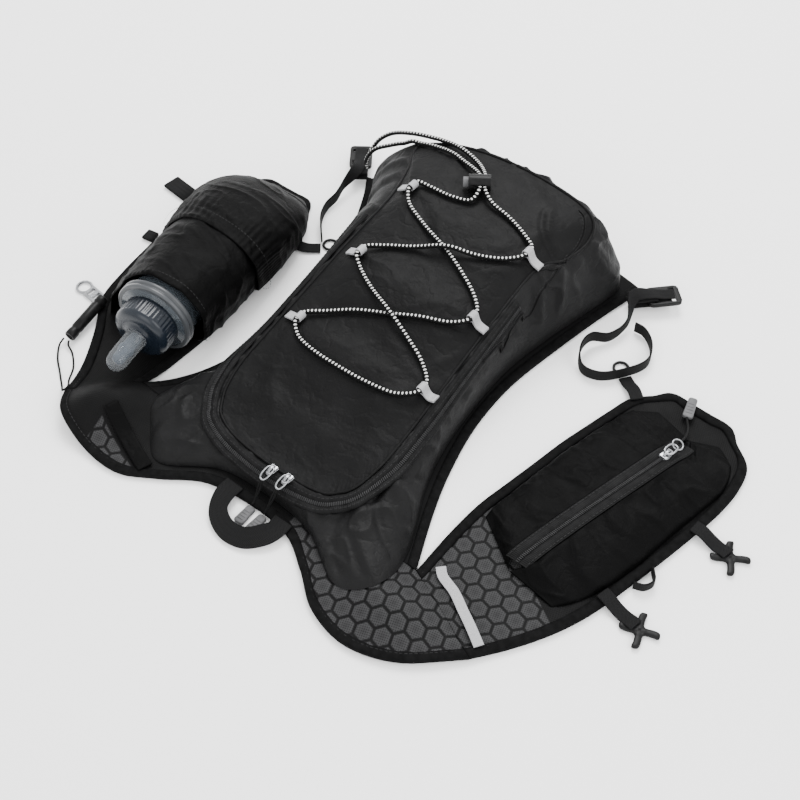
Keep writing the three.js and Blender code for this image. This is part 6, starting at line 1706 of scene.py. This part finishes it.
def flask():
    matrix = flask_matrix()
    rings, angles = [], (np.arange(56) + 0.5) * 2 * math.pi / 56
    spread = np.concatenate([[-0.1, -0.06, -0.037, -0.032, -0.028, 0.0, 0.026, 0.03, 0.0335, 0.037],
                             np.linspace(0.06, 1.03, 60)])
    for along in spread:
        across, up, sink = (np.interp(along, FLASK_ROWS["along"], FLASK_ROWS[name])
                            for name in ("across", "up", "sink"))
        across, up = min(across, 0.98), min(up, 0.98)
        crinkle = 0.035 * np.sin(angles * 7 + along * 9) * np.clip((along - 0.1) / 0.2, 0, 1)
        x = (across + crinkle * 0.5) * np.cos(angles)
        z = (up + crinkle) * np.sin(angles) - sink
        rings.append(stack(x * FLASK_RADIUS, -z * FLASK_RADIUS, along * FLASK_LENGTH))
    grid = np.array(rings) @ np.array(matrix.to_3x3()).T + np.array(matrix.translation)
    finish_piece(surface("flask_film_body", grid, around=True, ends=True), FLASK, ["flask_body"])
    collar = lathe("flask_collar_ring", in_mm(
        (29.2, -3.9), (30.4, -3.9), (31, -3.2), (31, -0.9), (30.2, -0.5), (30.2, 0.4), (31, 0.8), (31, 3.1),
        (30.4, 3.7), (29.2, 3.7)), 72, matrix)
    finish_piece(collar, COLLAR)
    start = 0.035 * FLASK_LENGTH + GAP
    top = start + CAP_HEIGHT
    profile = [(4.0 * MM, start + 1 * MM), (CAP_RADIUS - 2.4 * MM, start), (CAP_RADIUS - 0.7 * MM, start)]
    ribbed = np.linspace(start + 0.8 * MM, top - 5.2 * MM, 8)
    profile += [(CAP_RADIUS, h) for h in ribbed]
    profile += [(CAP_RADIUS - 0.2 * MM, top - 4.4 * MM), (CAP_RADIUS - 0.8 * MM, top - 3 * MM),
                (CAP_RADIUS - 2.6 * MM, top - 1.2 * MM), (CAP_RADIUS - 5.4 * MM, top - 0.2 * MM),
                (CAP_RADIUS - 8 * MM, top), (NOZZLE_RADIUS + 2 * MM, top + 0.5 * MM),
                (NOZZLE_RADIUS + 1.2 * MM, top + 1.6 * MM), (NOZZLE_RADIUS - 1.4 * MM, top + 1.8 * MM),
                (3 * MM, top + 1.9 * MM)]
    forward = matrix @ Matrix.Rotation(math.pi, 4, "X")
    cap = lathe("cap_body", profile, 168, forward, ribs=42, rib_depth=0.6 * MM, rib_rows=range(4, 10))
    finish_piece(cap, CAP, ["flask_cap"], "flask_cap")
    valve = lathe("bite_valve", in_mm(
        (4.5, 1), (5.2, 2), (5.2, 12), (6.2, 14), (6.2, 17), (4.9, 19), (4.9, 24), (4.2, 27), (1.5, 28),
        base=top), 36, forward)
    finish_piece(valve, VALVE, (), "flask_cap")
    r = NOZZLE_RADIUS
    cover = lathe("nozzle_cap", [(r - 1.2 * MM, top + 1 * MM), (r, top + 1 * MM), (r, top + 3 * MM),
                                 (r - 0.3 * MM, top + 4 * MM), (r - 0.4 * MM, top + 24 * MM),
                                 (r - 0.9 * MM, top + 28 * MM), (r - 2.4 * MM, top + 31.6 * MM),
                                 (r - 4.5 * MM, top + 33.5 * MM), (1 * MM, top + 33.9 * MM)], 48, forward)
    finish_piece(cover, COVER, (), "flask_cap")


WHISTLE_TURN = 0.12 - math.pi / 2
WHISTLE_TILT = 0.11


def left_hardware():
    """The sternum slider with its ring, and the whistle."""
    frame_piece = softened("sternum_frame", "shoulder_slider", 0.5 * MM, 3, 50)
    finish_piece(frame_piece, METAL, ["shoulder_slider"])
    start = on_left(np.array([0.809]), np.array([0.183]))[0]
    start[2] = BINDING_HEIGHT + 3 * GAP + 4.5 * MM
    level = Matrix.Rotation(WHISTLE_TURN, 4, "Z") @ Matrix.Rotation(WHISTLE_TILT, 4, "Y")
    run = level @ Matrix.Rotation(math.pi / 2, 4, "Y")
    whistle = lathe("whistle_tube", in_mm(
        (2.8, 1.2), (2.9, 0), (3.9, 0), (4.4, 0.6), (4.4, 6), (4.0, 6.6), (4.0, 8.4), (4.4, 9), (4.4, 33),
        (4.0, 33.6), (4.0, 35.4), (4.4, 36), (4.4, 41.2), (3.9, 41.9), (2.9, 41.9), (2.6, 36.5)), 40,
        Matrix.Translation(Vector(start)) @ run)
    finish_piece(whistle, PLASTIC, ["whistle"])


WHISTLE_CORD = 1.5 * MM
WHISTLE_ROUTE = (
    (-203.5, -142.6, 5.4), (-203, -148, 3.2), (-196, -157, 0), (-184, -166, 0), (-172, -175, 0),
    (-164, -180, 0),
    (-160, -182, 0), (-160, -178, 0), (-168, -170, 0), (-180, -156, 0), (-191, -147, 0), (-197, -144.6, 3.6),
    (-198.6, -142.2, 5.4),
)


def whistle_cord(skin):
    """The whistle's cord: a row with no height lies on what is under it."""
    points = []
    for x, y, z in WHISTLE_ROUTE:
        rest = highest_near(skin, x * MM, y * MM, 1.5 * MM) + 0.8 * WHISTLE_CORD
        points.append([x * MM, y * MM, z * MM if z else rest])
    line = smooth(points, 12)
    piece = tube("whistle_lanyard", line, WHISTLE_CORD, 10)
    finish_piece(piece, CORD, ["whistle_cord"])


# The right strap's zipped pocket

PHONE_ROWS = table(
    "inner innerAlong zip zipAlong outer outerAlong top",
    (0.102, 0.273, 0.464, 0.162, 0.816, 0.141, 0.333), (0.135, 0.328, 0.492, 0.217, 0.921, 0.217, 0.767),
    (0.178, 0.422, 0.569, 0.354, 1.035, 0.371, 0.933), (0.226, 0.549, 0.664, 0.515, 1.102, 0.541, 1),
    (0.283, 0.669, 0.74, 0.643, 1.154, 0.66, 1), (0.34, 0.779, 0.797, 0.745, 1.192, 0.771, 0.933),
    (0.416, 0.864, 0.826, 0.813, 1.14, 0.864, 0.6), (0.53, 0.915, 0.835, 0.873, 1.026, 0.911, 0.347),
)
PANEL_SECTION = table("out up", (0, 0), (0.08, 0.55), (0.45, 0.92), (1, 1))
PHONE_HEIGHT = 15 * MM
MOUTH = 4.4 * MM
PHONE_TAPE = 6.5 * MM
LIP = MOUTH / 2 + PHONE_TAPE + GAP


def zip_middle(u):
    point = on_right(column(PHONE_ROWS, "zip", u), column(PHONE_ROWS, "zipAlong", u))
    point[..., 2] = column(PHONE_ROWS, "top", u) * PHONE_HEIGHT
    return point


def phone_panel(name, sign):
    u = np.linspace(0, 1, 130)[:, None]
    t = np.linspace(0, 1, 60)[None]
    foot = on_right(column(PHONE_ROWS, name, u), column(PHONE_ROWS, name + "Along", u))
    ends = np.clip(np.minimum(u, 1 - u) * (len(PHONE_ROWS["zip"]) - 1), 0, 1)
    foot[..., 0] += sign * 3.2 * MM * ends
    lip = zip_middle(u) + stack(sign * mix(GAP, LIP, ends), 0.0, 0.0)
    out, up = column(PANEL_SECTION, "out", t), column(PANEL_SECTION, "up", t)
    grid = foot + (lip - foot) * out[..., None]
    grid[..., 2] = mix(SHELL_BASE, lip[..., 2], up)
    clear = inside(u, 0.06) * inside(t, 0.08)
    sag = 1.7 * MM if name == "outer" else 1.4 * MM
    fold = 1.3 * MM * np.sin((grid[..., 0] * 0.5 + grid[..., 1]) * 2 * math.pi / (37 * MM) + 3 * u)
    shift = (lumps_on(grid, sag, 0.35 * MM) + fold * (0.9 if name == "outer" else 0.4)) * clear
    grid[..., 2] += np.clip(shift, -2.4 * MM, 2.6 * MM)
    back = grid - np.array([0, 0, 1.2 * MM])
    back[:, 0] = grid[:, 0] + np.array([-sign * 1.2 * MM, 0, 0])
    back[..., 2] = np.maximum(back[..., 2], STRAP_PAD + 0.1 * MM)
    piece = slab(f"phone_cloth_{name}", grid, back)
    finish_piece(piece, POCKET_NYLON, [f"phone_pocket_{name}"])


def phone_zip():
    u = np.linspace(0.085, 0.915, 150)
    middle = zip_middle(u)
    parts = []
    for k, sign in enumerate((-1, 1)):
        lanes = np.array([0.35, 1.3, 1.9, 2.4, 4.5, 6.8, 8.6]) * MM
        lift = np.array([-0.2, -0.1, 0.1, 0.4, 0.5, 0.35, -0.1]) * MM + 0.7 * MM
        grid = middle[:, None] + stack(sign * lanes[None], 0.0, lift[None])
        parts.append(surface(f"phone_tape_{k}", grid))
    tapes = joined("phone_zip_tapes", *parts)
    finish_piece(tapes, ZIP_TAPE, ["phone_pocket_zip"])
    line = middle + np.array([0, 0, 1.0 * MM])
    across = np.tile([1.0, 0, 0], (len(line), 1))
    coil = teeth("phone_zip_coil", line, across, upright(line), 2.8 * MM, 1.4 * MM, 1.1 * MM)
    finish_piece(coil, COIL)
    for k, sign in enumerate((-1, 1)):
        seam = middle + np.array([sign * 7.2 * MM, 0, 1.35 * MM])
        stitches(f"phone_zip_stitches_{k}", seam, upright(seam))


def phone_hardware():
    x, y, z = node_middle("phone_slider")
    body = slider("phone_slider_body", "phone_slider", 1.4, 10 * MM, 7.5 * MM, 3.2 * MM)
    ring_middle = np.array([x + 2 * MM, y + 11 * MM, z + 1.2 * MM])
    loop = wire_loop("phone_slider_wire", (x, y - 1 * MM, z + 2.4 * MM),
                     (x + 1.5 * MM, y + 9 * MM, z + 1.6 * MM), 6 * MM, 1.5 * MM)
    ring = ring_piece("phone_slider_ring", ring_middle, 8 * MM, 1.3 * MM, 0.35)
    finish_piece(joined("phone_slider_metal", body, loop, ring), METAL, ["phone_slider"])
    pull = on_right(np.array([0.702]), np.array([0.979]))[0]
    pull[2] = BINDING_HEIGHT + GAP + 1.5 * MM
    core = pull_shape("phone_pull_core", pull, 1.85, 19 * MM, 8 * MM, 3 * MM)
    finish_piece(core, GREY_PLASTIC, ["phone_pull"])
    start = np.array([x, y, z - 1.6 * MM])
    steps = [start + np.array(s) * MM
             for s in ((2, 13.5, 1.6), (2, 18, 1.0), (1.6, 23, -1.6), (-1.4, 33, -4.9))]
    steps += [pull + np.array(s) * MM for s in ((3, -10, 0.2), (1.8, -7, 0.2))]
    strand = tube("phone_pull_strand", smooth(steps, 8), 1.8 * MM, 10)
    finish_piece(strand, CORD)


# Stage, light and camera

FLOOR_HALF = 3.0
WORLD_STRENGTH = 1.9
LAMPS = (  # name, place, size, power
    ("key", (-0.5, 0.9, 1.5), 0.9, 46),
    ("fill", (1.3, 0.1, 1.1), 1.1, 16),
    ("front", (0.2, -1.4, 1.2), 1.2, 12),
)


def floor_and_light():
    size = FLOOR_HALF
    corners = [(-size, -size, 0), (size, -size, 0), (size, size, 0), (-size, size, 0)]
    floor = build("floor", corners, [(0, 1, 2, 3)])
    white = Finish("floor_white", 0.9, specular=0.1)
    tone = white.noise(white.place("Object")[0], 0.6, 1)
    white.set("Base Color", white.ramp(tone, (0.3, (0.94, 0.94, 0.94)), (0.7, (0.95, 0.95, 0.95))))
    floor.data.materials.append(white.material)
    world = bpy.data.worlds.new("studio")
    bpy.context.scene.world = world
    world.use_nodes = True
    background = world.node_tree.nodes["Background"]
    background.inputs[0].default_value = (1.0, 1.0, 1.0, 1)
    background.inputs[1].default_value = WORLD_STRENGTH
    for name, place, size, power in LAMPS:
        light = bpy.data.lights.new(name, "AREA")
        light.size = size
        light.energy = power
        lamp = bpy.data.objects.new(name, light)
        lamp.location = place
        lamp.rotation_euler = (Vector((0, 0, 0.02)) - Vector(place)).to_track_quat("-Z", "Y").to_euler()
        bpy.context.scene.collection.objects.link(lamp)


AZIMUTH = math.radians(38)
ELEVATION = math.radians(51)
DISTANCE = 0.98
LOOK_AT = (0.032, -0.030, 0)
LENS_MM = 60
SENSOR_MM = 36


def camera():
    data = bpy.data.cameras.new("camera")
    data.lens = LENS_MM
    data.sensor_width = SENSOR_MM
    view = bpy.data.objects.new("camera", data)
    level = math.cos(ELEVATION)
    back = Vector((math.sin(AZIMUTH) * level, -math.cos(AZIMUTH) * level, math.sin(ELEVATION)))
    view.location = Vector(LOOK_AT) + DISTANCE * back
    view.rotation_euler = (math.pi / 2 - ELEVATION, 0, AZIMUTH)
    bpy.context.scene.collection.objects.link(view)
    bpy.context.scene.camera = view


camera()
floor_and_light()
harness()
bindings()
gusset = bag_side()
front = bag_panel()
piping = seam_piping()
zip_band = main_zip()
skin = tree_of(gusset, front, piping, zip_band)
gusset_seams(skin)
bungee(skin)
for tab in TABS:
    bungee_tab(tab, skin)
cord_lock()
straps_and_loops()
ladder_locks()
end_rings()
HARNESS_NAMES = ("back_pad", "yoke_pad", "strap_", "binding_")
harness_objects = [o for o in bpy.data.objects if o.name.startswith(HARNESS_NAMES) and o.type == "MESH"]
neck_skin = tree_of(gusset, front, piping, zip_band, *harness_objects)
neck_sliders(neck_skin)
left_pockets()
hem_stitches()
flask()
left_hardware()
whistle_cord(tree_of(*harness_objects))
phone_panel("inner", -1)
phone_panel("outer", 1)
phone_zip()
phone_hardware()
